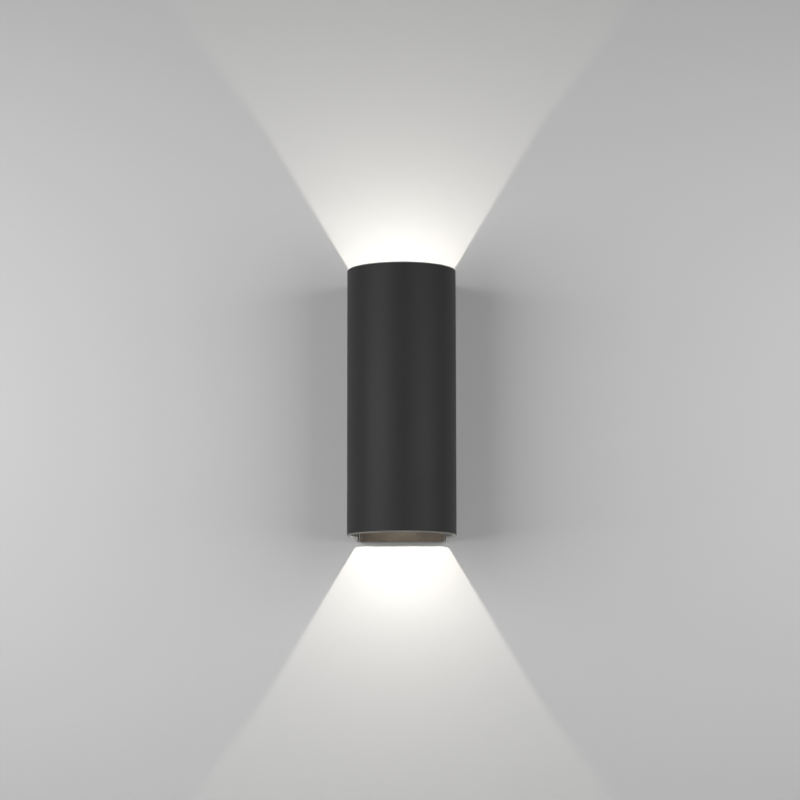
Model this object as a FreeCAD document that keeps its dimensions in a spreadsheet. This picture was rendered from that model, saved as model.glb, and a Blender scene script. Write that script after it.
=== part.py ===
import FreeCAD, Part
import math
import os
import re
import Sketcher

# Tube wall light, millimetres.  +X is right, the wall is the plane y = 0, the front faces -Y and
# +Z is up.  The origin is on the wall, behind the middle of the tube.

DIMENSIONS = (
    # extruded tube: a round front on two side walls that run back towards the wall
    ("tube_height", 255), ("tube_radius", 52), ("tube_wall", 3), ("axis_to_wall", 80),
    ("neck_half_width", 45), ("neck_wall", 2.5), ("neck_fillet", 6),
    ("lip_gap", 3), ("lip_bead_radius", 1.65), ("rim_chamfer", 0.8),
    # wall bracket and what sits on it
    ("gasket_thickness", 2), ("gasket_half_width", 38), ("gasket_inset", 3),
    ("bracket_sheet", 2), ("bracket_half_width", 41), ("bracket_bend_radius", 3),
    ("flange_depth", 5.5), ("flange_mitre", 3),
    ("ear_depth", 16), ("ear_half_height", 40), ("ear_corner_radius", 4),
    ("wall_slot_across", 30), ("wall_slot_length", 12), ("wall_slot_radius", 2.5),
    ("cable_hole_radius", 9), ("grommet_flange_radius", 11.5), ("grommet_flange", 1.5),
    ("grommet_bore_radius", 6.5), ("gasket_opening_margin", 1),
    ("earth_screw_across", 26), ("earth_screw_level", 22),
    # margins: threads round their screws, and what a cut leaves or runs past at its end
    ("thread_clearance", 0.05), ("end_margin", 1),
    # set screws in the side walls
    ("grub_screw_radius", 2), ("grub_screw_from_wall", 11), ("grub_screw_level", 28),
    ("grub_tip_gap", 0.3), ("grub_socket_radius", 1.1), ("grub_socket_depth", 2),
    # bulkheads: plates across the tube, with a collar outside and fins inside
    ("bay_half_height", 44), ("bulkhead_thickness", 8), ("bulkhead_clearance", 0.1),
    ("bulkhead_from_wall", 8), ("collar_outer_radius", 41), ("collar_inner_radius", 28),
    ("collar_height", 8), ("fin_count", 9), ("fin_pitch", 8), ("fin_thickness", 2),
    ("fin_height", 8), ("fins_front", 76), ("fins_rear", 42),
    ("boss_across", 30), ("boss_width", 10), ("boss_rear", 80), ("boss_height", 10),
    ("ledge_half_width", 33.5), ("ledge_depth", 4), ("ledge_height", 5),
    ("lead_hole_radius", 3.5), ("lead_hole_from_axis", 23.5),
    ("side_screw_radius", 2), ("side_screw_head_radius", 4), ("side_screw_length", 11),
    ("side_screw_front", 44), ("side_screw_rear", 20), ("side_socket_radius", 1.4),
    ("side_socket_depth", 1.6), ("side_hole_clearance", 0.1),
    # light units: board, emitter, connector, seal, glass and bezel ring
    ("board_radius", 18), ("board_thickness", 1.6), ("board_screw_across", 13.5),
    ("emitter_half_width", 6.75), ("emitter_base", 1), ("emitter_field_radius", 5.5),
    ("emitter_field", 0.5), ("connector_half_width", 3), ("connector_near", 11.5),
    ("connector_far", 16.5), ("connector_height", 4.4),
    ("seal_thickness", 1.5), ("glass_radius", 34), ("glass_thickness", 4),
    ("bezel_pocket_clearance", 0.3), ("bezel_bore_radius", 29), ("bezel_top", 2),
    ("bezel_chamfer", 0.8), ("bezel_screw_offset", 26.5),
    # tray, driver, terminal block and rear cover in the wiring space
    ("chassis_front", 92), ("chassis_sheet", 1.5), ("chassis_half_width", 42.3),
    ("chassis_lip_inner", 34), ("chassis_bend_radius", 2.4),
    ("chassis_screw_level", 39), ("lead_window_inner", 6), ("lead_window_outer", 14),
    ("lead_window_height", 6.5),
    ("driver_half_width", 24), ("driver_half_height", 33), ("driver_depth", 24),
    ("driver_corner_radius", 2), ("driver_ear_half_width", 5), ("driver_ear_length", 7),
    ("driver_ear_thickness", 3), ("driver_screw_level", 36.5),
    ("block_half_width", 16), ("block_half_height", 9), ("block_depth", 14.5),
    ("pole_pitch", 10), ("pole_bore_radius", 1.6), ("pole_bore_from_wall", 82),
    ("pole_bore_depth", 7), ("clamp_hole_radius", 2), ("clamp_level", 4.5),
    ("clamp_screw_radius", 1.9), ("clamp_screw_recess", 1.5),
    ("clamp_slot_half_width", 0.4), ("clamp_slot_depth", 0.8),
    ("block_screw_across", 5), ("block_screw_recess", 8),
    ("cover_rear", 30), ("cover_thickness", 3), ("cover_half_width", 39.8),
    ("cover_half_height", 43.6), ("cover_corner_radius", 3), ("cover_gasket", 1.5),
    ("gasket_frame_inner_across", 35), ("gasket_frame_inner_up", 40),
    ("cover_screw_across", 37.5), ("cover_screw_level", 38), ("gland_seat_height", 2),
    # cable gland
    ("gland_level", -20), ("gland_thread_radius", 7.9), ("gland_hole_radius", 8.1),
    ("gland_hex_radius", 11), ("gland_hex_height", 4), ("gland_seat_radius", 12),
    ("gland_bore_radius", 6),
    ("gland_neck_radius", 7), ("gland_neck_length", 6), ("gland_inner_length", 6),
    ("gland_nut_radius", 9.5), ("gland_nut_length", 10), ("gland_nut_wall", 2),
    ("gland_nut_bore_radius", 4.75), ("gland_seal_bore_radius", 4.25),
    ("gland_seal_length", 9.5), ("locknut_height", 4),
    # leads held inside the housing
    ("led_lead_radius", 0.8), ("led_lead_across", 1.3), ("led_lead_bend", 5),
    ("led_lead_bend_level", 51.6), ("supply_lead_radius", 1), ("supply_lead_bend", 6.2),
    ("supply_lead_floor", 41.8), ("supply_lead_front", 104),
    ("lead_grommet_flange_radius", 4.4), ("lead_grommet_flange", 1.2),
    # small screws: M3 with a round head, M4 for the earth
    ("screw_radius", 1.5), ("screw_hole_radius", 1.6), ("screw_head_radius", 2.7),
    ("screw_head_height", 2), ("screw_length", 7), ("hex_socket_radius", 1.2),
    ("hex_socket_depth", 1.2), ("earth_screw_radius", 2), ("earth_head_radius", 3.6),
    ("earth_washer_radius", 4.5), ("earth_washer", 0.8), ("earth_head_height", 2.4),
)

# Levels and distances that several sub-parts share, as expressions over the sheet.
AXIS_Y = "-axis_to_wall"
WEB_REAR = "-gasket_thickness"
WEB_FRONT = "-(gasket_thickness + bracket_sheet)"
FLANGE_FRONT = "-(gasket_thickness + flange_depth)"
EAR_FRONT = "-(gasket_thickness + ear_depth)"
BULKHEAD_OUT = "(bay_half_height + bulkhead_thickness)"
BOARD_TOP = f"({BULKHEAD_OUT} + board_thickness)"
COLLAR_TOP = f"({BULKHEAD_OUT} + collar_height)"
GLASS_BOTTOM = f"({COLLAR_TOP} + seal_thickness)"
GLASS_TOP = f"({GLASS_BOTTOM} + glass_thickness)"
BEZEL_TOP = f"({GLASS_TOP} + bezel_top)"
LEAD_HOLE_Y = f"({AXIS_Y} - lead_hole_from_axis)"
SIDE_SCREW_LEVEL = "(bay_half_height + bulkhead_thickness / 2)"
CHASSIS_WEB_REAR = "-(chassis_front - chassis_sheet)"
COVER_REAR = "-cover_rear"
COVER_FRONT = "-(cover_rear + cover_thickness)"
LIP_REAR = "-(cover_rear + cover_thickness + cover_gasket)"
LIP_FRONT = "-(cover_rear + cover_thickness + cover_gasket + chassis_sheet)"
BLOCK_REAR = f"({CHASSIS_WEB_REAR} + block_depth)"
EARTH_SCREW = ("earth_screw_across", "earth_screw_level")
POLES = ("-pole_pitch", "0", "pole_pitch")
GLAND_SEAT_REAR = f"({COVER_REAR} + gland_seat_height)"

# +1 where a plane's normal points along its world axis, -1 where it points the other way.
PLANE_NORMAL = {"XY_Plane": 1, "XZ_Plane": -1, "YZ_Plane": 1}
START, END, CENTRE = 1, 2, 3
ORIGIN, HORIZONTAL_AXIS, VERTICAL_AXIS = -1, -1, -2
HEX_SIDE = math.sqrt(3) / 2
# Places closer than NEAR are one place; numbers below TINY are none; a cut takes away more than
# SMALLEST_CUT, in cubic millimetres.
NEAR, TINY, SMALLEST_CUT = 0.01, 1e-6, 0.01

doc = FreeCAD.newDocument("tube_wall_light")
sheet = doc.addObject("Spreadsheet::Sheet", "dims")
sub_parts = []


# ---------------------------------------------------------------------------------------------
# driving dimensions

def fill_sheet():
    """One row for each driving dimension: its name and its number, with an alias."""
    for row, (alias, number) in enumerate(DIMENSIONS, 1):
        sheet.set(f"A{row}", alias)
        sheet.set(f"B{row}", str(number))
        sheet.setAlias(f"B{row}", alias)
    doc.recompute()


def cells(text):
    """The expression with every alias written as a cell of the sheet."""
    return re.sub(r"[a-z_]\w*\b(?!\()", lambda name: "dims." + name.group(), text)


def value(text):
    """What an expression over the sheet comes to."""
    return float(sheet.evalExpression(cells(text)))


# ---------------------------------------------------------------------------------------------
# sketches

def pin(sketch, curve, point, across, up):
    """Hold one point of a curve at a place measured from the sketch's origin."""
    for kind, text, axis in (("DistanceX", across, VERTICAL_AXIS), ("DistanceY", up, HORIZONTAL_AXIS)):
        distance = value(text)
        if abs(distance) < TINY:
            sketch.addConstraint(Sketcher.Constraint("PointOnObject", curve, point, axis))
            continue
        number = sketch.addConstraint(Sketcher.Constraint(kind, ORIGIN, 1, curve, point, distance))
        sketch.setExpression(f"Constraints[{number}]", cells(text))


def hold_radius(sketch, curve, radius):
    number = sketch.addConstraint(Sketcher.Constraint("Radius", curve, value(radius)))
    sketch.setExpression(f"Constraints[{number}]", cells(radius))


def add_line(sketch, start, end):
    return sketch.addGeometry(Part.LineSegment(FreeCAD.Vector(*start), FreeCAD.Vector(*end)))


def add_arc(sketch, centre, radius, first, last):
    """An arc that runs counter-clockwise from the angle first to the angle last, in degrees."""
    full = Part.Circle(FreeCAD.Vector(*centre), FreeCAD.Vector(0, 0, 1), radius)
    return sketch.addGeometry(Part.ArcOfCircle(full, math.radians(first), math.radians(last)))


def circle(across, up, radius):
    def draw(sketch):
        centre = FreeCAD.Vector(value(across), value(up), 0)
        curve = sketch.addGeometry(Part.Circle(centre, FreeCAD.Vector(0, 0, 1), value(radius)))
        hold_radius(sketch, curve, radius)
        pin(sketch, curve, CENTRE, across, up)
    return draw


def circles(places, radius):
    return [circle(across, up, radius) for across, up in places]


def polygon(*corners):
    """A closed outline through corners given as pairs of expressions."""
    def draw(sketch):
        spots = [(value(across), value(up), 0) for across, up in corners]
        lines = [add_line(sketch, spots[i], spots[(i + 1) % len(spots)]) for i in range(len(spots))]
        for i, line in enumerate(lines):
            following = lines[(i + 1) % len(lines)]
            sketch.addConstraint(Sketcher.Constraint("Coincident", line, END, following, START))
            pin(sketch, line, START, *corners[i])
    return draw


def rectangle(left, right, low, high):
    return polygon((left, low), (right, low), (right, high), (left, high))


def hexagon(across, up, radius):
    """A hexagon with two corners to the left and right, inside a circle of the radius."""
    unit_corners = ((1, 0), (0.5, HEX_SIDE), (-0.5, HEX_SIDE),
                    (-1, 0), (-0.5, -HEX_SIDE), (0.5, -HEX_SIDE))
    corners = []
    for side, height in unit_corners:
        corners.append((f"{across} + {side} * {radius}", f"{up} + {height:.6f} * {radius}"))
    return polygon(*corners)


def hexagons(places, radius):
    return [hexagon(across, up, radius) for across, up in places]


def level_slot(across, up, length, radius):
    """A slot with round ends that runs left and right; its length is taken over the ends."""
    reach = f"(({length}) / 2 - ({radius}))"

    def draw(sketch):
        x, y, r, half = value(across), value(up), value(radius), value(reach)
        right = add_arc(sketch, (x + half, y, 0), r, -90, 90)
        top = add_line(sketch, (x + half, y + r, 0), (x - half, y + r, 0))
        left = add_arc(sketch, (x - half, y, 0), r, 90, 270)
        bottom = add_line(sketch, (x - half, y - r, 0), (x + half, y - r, 0))
        for first, second in ((right, top), (top, left), (left, bottom), (bottom, right)):
            sketch.addConstraint(Sketcher.Constraint("Tangent", first, END, second, START))
        hold_radius(sketch, right, radius)
        sketch.addConstraint(Sketcher.Constraint("Equal", right, left))
        pin(sketch, right, CENTRE, f"{across} + {reach}", up)
        pin(sketch, left, CENTRE, f"{across} - {reach}", up)
    return draw


def neck_tangency(radius, half_width, fillet):
    """Centre of the fillet between the round part and the neck, and its angle to the axis."""
    reach = value(f"{half_width} + {fillet}")
    rise = math.sqrt(value(f"{radius} + {fillet}") ** 2 - reach ** 2)
    return (reach, value(AXIS_Y) + rise, 0), math.degrees(math.atan2(rise, reach))


def round_and_fillet(sketch, radius, half_width, fillet):
    """The right half of the round part and the fillet that leads into the neck."""
    centre, angle = neck_tangency(radius, half_width, fillet)
    round_part = add_arc(sketch, (0, value(AXIS_Y), 0), value(radius), -90, angle)
    bend = add_arc(sketch, centre, value(fillet), 180, 180 + angle)
    hold_radius(sketch, round_part, radius)
    hold_radius(sketch, bend, fillet)
    sketch.addConstraint(Sketcher.Constraint("Tangent", round_part, END, bend, END))
    sketch.addConstraint(Sketcher.Constraint("PointOnObject", round_part, START, VERTICAL_AXIS))
    return round_part, bend, centre[1]


def half_keyhole(radius, half_width, fillet, rear):
    """Right half of a closed plate that follows the tube's inside back to the level rear."""
    def draw(sketch):
        round_part, bend, bend_y = round_and_fillet(sketch, radius, half_width, fillet)
        x, rear_y, front_y = value(half_width), value(rear), value(f"{AXIS_Y} - ({radius})")
        side = add_line(sketch, (x, bend_y, 0), (x, rear_y, 0))
        back = add_line(sketch, (x, rear_y, 0), (0, rear_y, 0))
        middle = add_line(sketch, (0, rear_y, 0), (0, front_y, 0))
        pin(sketch, round_part, CENTRE, "0", AXIS_Y)
        sketch.addConstraint(Sketcher.Constraint("Tangent", bend, START, side, START))
        sketch.addConstraint(Sketcher.Constraint("Vertical", side))
        sketch.addConstraint(Sketcher.Constraint("Coincident", side, END, back, START))
        sketch.addConstraint(Sketcher.Constraint("Horizontal", back))
        sketch.addConstraint(Sketcher.Constraint("Coincident", back, END, middle, START))
        sketch.addConstraint(Sketcher.Constraint("PointOnObject", middle, START, VERTICAL_AXIS))
        sketch.addConstraint(Sketcher.Constraint("Coincident", middle, END, round_part, START))
        pin(sketch, side, END, half_width, rear)
    return draw


def half_tube_section(sketch):
    """Right half of the extruded section: round wall, fillets, neck wall and beaded lip."""
    inner_radius = "(tube_radius - tube_wall)"
    inner_half_width = "(neck_half_width - neck_wall)"
    inner_fillet = "neck_fillet + neck_wall"
    bead_from_wall = "-(lip_gap + lip_bead_radius)"
    outer, outer_bend, outer_bend_y = round_and_fillet(
        sketch, "tube_radius", "neck_half_width", "neck_fillet")
    inner, inner_bend, inner_bend_y = round_and_fillet(
        sketch, inner_radius, inner_half_width, inner_fillet)

    outside, inside = value("neck_half_width"), value(inner_half_width)
    bead_radius, bead_y = value("lip_bead_radius"), value(bead_from_wall)
    bead_overhang = bead_radius - value("neck_wall")
    meeting_angle = math.degrees(math.acos(bead_overhang / bead_radius))
    meeting_y = bead_y - bead_radius * math.sin(math.radians(meeting_angle))
    outer_side = add_line(sketch, (outside, outer_bend_y, 0), (outside, bead_y, 0))
    bead = add_arc(sketch, (outside - bead_radius, bead_y, 0), bead_radius, 0, 360 - meeting_angle)
    inner_side = add_line(sketch, (inside, meeting_y, 0), (inside, inner_bend_y, 0))
    front = add_line(sketch, (0, value(f"{AXIS_Y} - {inner_radius}"), 0),
                     (0, value(f"{AXIS_Y} - tube_radius"), 0))

    pin(sketch, outer, CENTRE, "0", AXIS_Y)
    sketch.addConstraint(Sketcher.Constraint("Coincident", inner, CENTRE, outer, CENTRE))
    for curve, point, following in ((outer_bend, START, outer_side), (inner_bend, START, inner_side)):
        touching_end = START if following == outer_side else END
        sketch.addConstraint(Sketcher.Constraint("Tangent", curve, point, following, touching_end))
        sketch.addConstraint(Sketcher.Constraint("Vertical", following))
    sketch.addConstraint(Sketcher.Constraint("Tangent", outer_side, END, bead, START))
    hold_radius(sketch, bead, "lip_bead_radius")
    pin(sketch, outer_side, END, "neck_half_width", bead_from_wall)
    sketch.addConstraint(Sketcher.Constraint("Coincident", bead, END, inner_side, START))
    number = sketch.addConstraint(Sketcher.Constraint("DistanceX", ORIGIN, 1, inner_side, START, inside))
    sketch.setExpression(f"Constraints[{number}]", cells(inner_half_width))
    sketch.addConstraint(Sketcher.Constraint("Coincident", front, START, inner, START))
    sketch.addConstraint(Sketcher.Constraint("Coincident", front, END, outer, START))


# ---------------------------------------------------------------------------------------------
# bodies and features

def new_body(label):
    body = doc.addObject("PartDesign::Body", label)
    body.Label = label
    sub_parts.append(body)
    return body


def origin_feature(body, role):
    """One of the body's own origin planes or axes."""
    return next(item for item in body.Origin.OriginFeatures if item.Role == role)


def new_sketch(body, name, role, level, shapes):
    """A sketch on an origin plane, moved along its world axis to a level."""
    sketch = body.newObject("Sketcher::SketchObject", f"{name}_sketch")
    sketch.AttachmentSupport = [(origin_feature(body, role), "")]
    sketch.MapMode = "FlatFace"
    sign = "" if PLANE_NORMAL[role] > 0 else "-"
    sketch.setExpression("AttachmentOffset.Base.z", cells(f"{sign}({level})"))
    for draw in shapes:
        draw(sketch)
    doc.recompute()
    return sketch


def extrude(body, kind, name, role, start, end, shapes):
    """A pad or pocket from one level to another along the plane's world axis."""
    feature_name = f"{body.Label}_{name}"
    sketch = new_sketch(body, feature_name, role, start, shapes)
    feature = body.newObject(kind, feature_name)
    feature.Profile = sketch
    low, high = sorted((start, end), key=value)
    feature.setExpression("Length", cells(f"({high}) - ({low})"))
    along_normal = (value(end) - value(start)) * PLANE_NORMAL[role] > 0
    feature.Reversed = along_normal if kind == "PartDesign::Pocket" else not along_normal
    doc.recompute()
    return feature


def pad(body, name, role, start, end, *shapes):
    return extrude(body, "PartDesign::Pad", name, role, start, end, shapes)


def check_cut(body, name, volume_before):
    if body.Shape.Volume > volume_before - SMALLEST_CUT:
        raise RuntimeError(f"{body.Label}: {name} cuts nothing")


def pocket(body, name, role, start, end, *shapes):
    before = body.Shape.Volume
    feature = extrude(body, "PartDesign::Pocket", name, role, start, end, shapes)
    check_cut(body, name, before)
    return feature


def revolve(body, name, role, level, axis_from, axis_to, *shapes):
    """Turn an outline round the line between two places of its own sketch."""
    sketch = new_sketch(body, f"{body.Label}_{name}", role, level, shapes)
    places = [(value(across), value(up), 0) for across, up in (axis_from, axis_to)]
    axis = add_line(sketch, *places)
    sketch.toggleConstruction(axis)
    pin(sketch, axis, START, *axis_from)
    pin(sketch, axis, END, *axis_to)
    feature = body.newObject("PartDesign::Revolution", f"{body.Label}_{name}")
    feature.Profile = sketch
    feature.ReferenceAxis = (sketch, ["Axis0"])
    feature.Angle = 360
    doc.recompute()
    return feature


def mirror_whole(body, role):
    """Repeat everything in the body so far on the other side of an origin plane."""
    feature = body.newObject("PartDesign::Mirrored", f"{body.Label}_mirror_{role[:2]}")
    feature.TransformMode = "Whole shape"
    feature.MirrorPlane = (origin_feature(body, role), [""])
    body.Tip = feature
    doc.recompute()


def mirror_features(body, originals, role):
    feature = body.newObject("PartDesign::Mirrored", f"{originals[0].Name}_mirror")
    feature.Originals = originals
    feature.MirrorPlane = (origin_feature(body, role), [""])
    body.Tip = feature
    doc.recompute()


def row(body, original, axis, count, pitch):
    """Repeat a feature in a straight row, centred on the original's own place."""
    feature = body.newObject("PartDesign::LinearPattern", f"{original.Name}_row")
    feature.Originals = [original]
    feature.Direction = (origin_feature(body, axis), [""])
    feature.Occurrences = int(value(count))
    feature.Mode = "Extent"
    feature.setExpression("Length", cells(f"({count} - 1) * {pitch}"))
    body.Tip = feature
    doc.recompute()


def dress_edges(body, kind, name, size, wanted):
    """Fillet or chamfer every edge that the test wanted picks."""
    base = body.Tip
    names = [f"Edge{i}" for i, edge in enumerate(base.Shape.Edges, 1) if wanted(edge)]
    if not names:
        raise RuntimeError(f"{body.Label}: {name} finds no edge")
    feature = body.newObject(kind, f"{body.Label}_{name}")
    feature.Base = (base, names)
    feature.setExpression("Radius" if kind == "PartDesign::Fillet" else "Size", cells(size))
    doc.recompute()


def runs_along(edge, axis):
    """True for a straight edge parallel to the axis 0, 1 or 2."""
    if not isinstance(edge.Curve, Part.Line):
        return False
    return abs(abs(edge.Curve.Direction[axis]) - 1) < TINY


def at_fold(edge, across, *levels):
    """True for an upright edge that far to the left or right, at one of the levels."""
    middle = edge.CenterOfMass
    if not runs_along(edge, 2) or abs(abs(middle.x) - value(across)) > NEAR:
        return False
    return any(abs(middle.y - value(level)) < NEAR for level in levels)


def lower_twin(upper, label):
    """The same piece in the lower half of the light; it has no left or right hand."""
    twin = doc.addObject("Part::Mirroring", label)
    twin.Label = label
    twin.Source = upper
    twin.Normal = FreeCAD.Vector(0, 0, 1)
    sub_parts.append(twin)
    doc.recompute()


def left_and_right(across, up):
    return [(f"{sign}{across}", up) for sign in ("", "-")]


def above_and_below(across, up):
    return [(across, f"{sign}{up}") for sign in ("", "-")]


def four_places(across, up):
    return [(f"{i}{across}", f"{j}{up}") for i in ("", "-") for j in ("", "-")]


def ring_screw_places():
    """The four screws of a bezel ring, round the tube's axis."""
    corners = four_places("bezel_screw_offset", "bezel_screw_offset")
    return [(across, f"{AXIS_Y} + {up}") for across, up in corners]


def side_screw_places():
    return [(f"-side_screw_{end}", SIDE_SCREW_LEVEL) for end in ("front", "rear")]


def pole_screw_places():
    return [(pole, f"{sign}clamp_level") for pole in POLES for sign in ("", "-")]


def round_head_screws(label, role, seat, tip, top, places):
    """Socket screws whose heads stand on the level seat, one at each place."""
    body = new_body(label)
    pad(body, "heads", role, seat, top, *circles(places, "screw_head_radius"))
    pad(body, "shanks", role, seat, tip, *circles(places, "screw_radius"))
    outward = "+" if value(top) > value(seat) else "-"
    floor = f"{seat} {outward} (screw_head_height - hex_socket_depth)"
    pocket(body, "sockets", role, top, floor, *hexagons(places, "hex_socket_radius"))
    return body


# ---------------------------------------------------------------------------------------------
# wall side

def wall_bracket():
    """Folded channel as tall as the tube, with a deeper ear on each side of its middle.

    The flanges stand in front of the gaps beside the tube's lips, where light could pass.  Their
    ends are mitred, so that the light which clears the web clears them too.
    """
    body = new_body("wall_bracket")
    inner_face = "(bracket_half_width - bracket_sheet)"
    half = (("0", WEB_REAR), ("bracket_half_width", WEB_REAR), ("bracket_half_width", FLANGE_FRONT),
            (inner_face, FLANGE_FRONT), (inner_face, WEB_FRONT), ("0", WEB_FRONT))
    pad(body, "channel", "XY_Plane", "-tube_height / 2", "tube_height / 2", polygon(*half))
    mirror_whole(body, "YZ_Plane")
    dress_edges(body, "PartDesign::Fillet", "outer_bends", "bracket_bend_radius",
                lambda edge: at_fold(edge, "bracket_half_width", WEB_REAR))
    dress_edges(body, "PartDesign::Fillet", "inner_bends", "bracket_bend_radius - bracket_sheet",
                lambda edge: at_fold(edge, inner_face, WEB_FRONT))
    dress_edges(body, "PartDesign::Chamfer", "mitres", "flange_mitre",
                lambda edge: front_corner(edge, FLANGE_FRONT))
    ears = [rectangle(f"{sign}{inner_face}", f"{sign}bracket_half_width", EAR_FRONT, FLANGE_FRONT)
            for sign in ("", "-")]
    pad(body, "ears", "XY_Plane", "-ear_half_height", "ear_half_height", *ears)
    dress_edges(body, "PartDesign::Fillet", "ear_corners", "ear_corner_radius",
                lambda edge: front_corner(edge, EAR_FRONT))
    slots = [level_slot(*place, "wall_slot_length", "wall_slot_radius")
             for place in left_and_right("wall_slot_across", "0")]
    pocket(body, "openings", "XZ_Plane", WEB_FRONT, WEB_REAR, *slots,
           circle("0", "gland_level", "cable_hole_radius"),
           circle(*EARTH_SCREW, "earth_screw_radius + thread_clearance"))


def front_corner(edge, level):
    """True for an edge that runs left and right at the level, such as the end of a flange."""
    return runs_along(edge, 0) and abs(edge.CenterOfMass.y - value(level)) < NEAR


def wall_gasket():
    """Foam pad, set in from the web's edges, open behind the slots and the cable hole."""
    body = new_body("wall_gasket")
    edge = "tube_height / 2 - gasket_inset"
    pad(body, "sheet", "XZ_Plane", WEB_REAR, "0",
        rectangle("-gasket_half_width", "gasket_half_width", f"-({edge})", edge))
    slots = [level_slot(*place, "wall_slot_length + 2 * gasket_opening_margin",
                        "wall_slot_radius + gasket_opening_margin")
             for place in left_and_right("wall_slot_across", "0")]
    pocket(body, "openings", "XZ_Plane", WEB_REAR, "0", *slots,
           circle("0", "gland_level", "grommet_flange_radius + gasket_opening_margin"),
           circle(*EARTH_SCREW, "earth_screw_radius + gasket_opening_margin"))


def cable_grommet():
    """Rubber grommet with a groove round the edge of the bracket's cable hole."""
    body = new_body("cable_grommet")
    front = f"{WEB_FRONT} - grommet_flange"
    rear = f"{WEB_REAR} + grommet_flange"
    outline = (("grommet_bore_radius", front), ("grommet_flange_radius", front),
               ("grommet_flange_radius", WEB_FRONT), ("cable_hole_radius", WEB_FRONT),
               ("cable_hole_radius", WEB_REAR), ("grommet_flange_radius", WEB_REAR),
               ("grommet_flange_radius", rear), ("grommet_bore_radius", rear))
    revolve(body, "ring", "XY_Plane", "gland_level", ("0", front), ("0", rear), polygon(*outline))


def bracket_earth_screw():
    """Screw with a washer that takes the earth wire of the bracket."""
    body = new_body("bracket_earth_screw")
    washer_front = f"{WEB_FRONT} - earth_washer"
    head_front = f"{washer_front} - earth_head_height"
    pad(body, "washer", "XZ_Plane", WEB_FRONT, washer_front, circle(*EARTH_SCREW, "earth_washer_radius"))
    pad(body, "head", "XZ_Plane", washer_front, head_front, circle(*EARTH_SCREW, "earth_head_radius"))
    pad(body, "shank", "XZ_Plane", WEB_FRONT, f"{WEB_REAR} + end_margin",
        circle(*EARTH_SCREW, "earth_screw_radius"))
    pocket(body, "socket", "XZ_Plane", head_front, f"{head_front} + hex_socket_depth",
           hexagon(*EARTH_SCREW, "hex_socket_radius"))


# ---------------------------------------------------------------------------------------------
# tube and its screws

def tube_body():
    """Extruded tube: one section swept over the full height, holes in its side walls, soft rims."""
    body = new_body("tube_body")
    pad(body, "section", "XY_Plane", "-tube_height / 2", "tube_height / 2", half_tube_section)
    mirror_whole(body, "YZ_Plane")
    dress_edges(body, "PartDesign::Chamfer", "rims", "rim_chamfer",
                lambda edge: edge.BoundBox.ZLength < NEAR)
    grub_holes = circles(above_and_below("-grub_screw_from_wall", "grub_screw_level"),
                         "grub_screw_radius + thread_clearance")
    beyond_side = "(neck_half_width + end_margin)"
    pocket(body, "grub_holes", "YZ_Plane", f"-{beyond_side}", beyond_side, *grub_holes)
    countersunk_holes(body)


def countersunk_holes(body):
    """Countersunk holes in the right side wall for the bulkhead screws, repeated on the left."""
    shapes = []
    for place in side_screw_places():
        shapes += circles(above_and_below(*place), "side_screw_radius + side_hole_clearance")
    sketch = new_sketch(body, "tube_body_side_holes", "YZ_Plane", "neck_half_width", shapes)
    before = body.Shape.Volume
    hole = body.newObject("PartDesign::Hole", "tube_body_side_holes")
    hole.Profile = sketch
    hole.DepthType = "Dimension"
    hole.setExpression("Depth", cells("neck_wall + end_margin"))
    hole.DrillPoint = "Flat"
    hole.setExpression("Diameter", cells("2 * (side_screw_radius + side_hole_clearance)"))
    hole.HoleCutType = "Countersink"
    hole.HoleCutCountersinkAngle = 90
    hole.setExpression("HoleCutDiameter", cells("2 * (side_screw_head_radius + side_hole_clearance)"))
    doc.recompute()
    check_cut(body, "side_holes", before)
    mirror_features(body, [hole], "YZ_Plane")


def bulkhead_screws():
    """Countersunk screws, two on each side of each bulkhead, flush with the tube's side walls."""
    body = new_body("bulkhead_screws")
    face = "neck_half_width"
    neck = "neck_half_width - (side_screw_head_radius - side_screw_radius)"
    tip = "neck_half_width - side_screw_length"
    for number, (axis_y, level) in enumerate(side_screw_places(), 1):
        shank_side = f"{axis_y} + side_screw_radius"
        head_side = f"{axis_y} + side_screw_head_radius"
        outline = ((tip, axis_y), (tip, shank_side), (neck, shank_side), (face, head_side),
                   (face, axis_y))
        revolve(body, f"screw_{number}", "XY_Plane", level, (tip, axis_y), (face, axis_y),
                polygon(*outline))
    pocket(body, "sockets", "YZ_Plane", face, f"{face} - side_socket_depth",
           *hexagons(side_screw_places(), "side_socket_radius"))
    mirror_whole(body, "XY_Plane")
    mirror_whole(body, "YZ_Plane")


def grub_screws():
    """Set screws in the side walls, backed off a little from the bracket's ears."""
    body = new_body("grub_screws")
    tip = "bracket_half_width + grub_tip_gap"
    place = ("-grub_screw_from_wall", "grub_screw_level")
    pad(body, "thread", "YZ_Plane", "neck_half_width", tip, circle(*place, "grub_screw_radius"))
    pocket(body, "socket", "YZ_Plane", "neck_half_width", "neck_half_width - grub_socket_depth",
           hexagon(*place, "grub_socket_radius"))
    mirror_whole(body, "XY_Plane")
    mirror_whole(body, "YZ_Plane")


# ---------------------------------------------------------------------------------------------
# bulkheads and light units, built for the upper half

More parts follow.
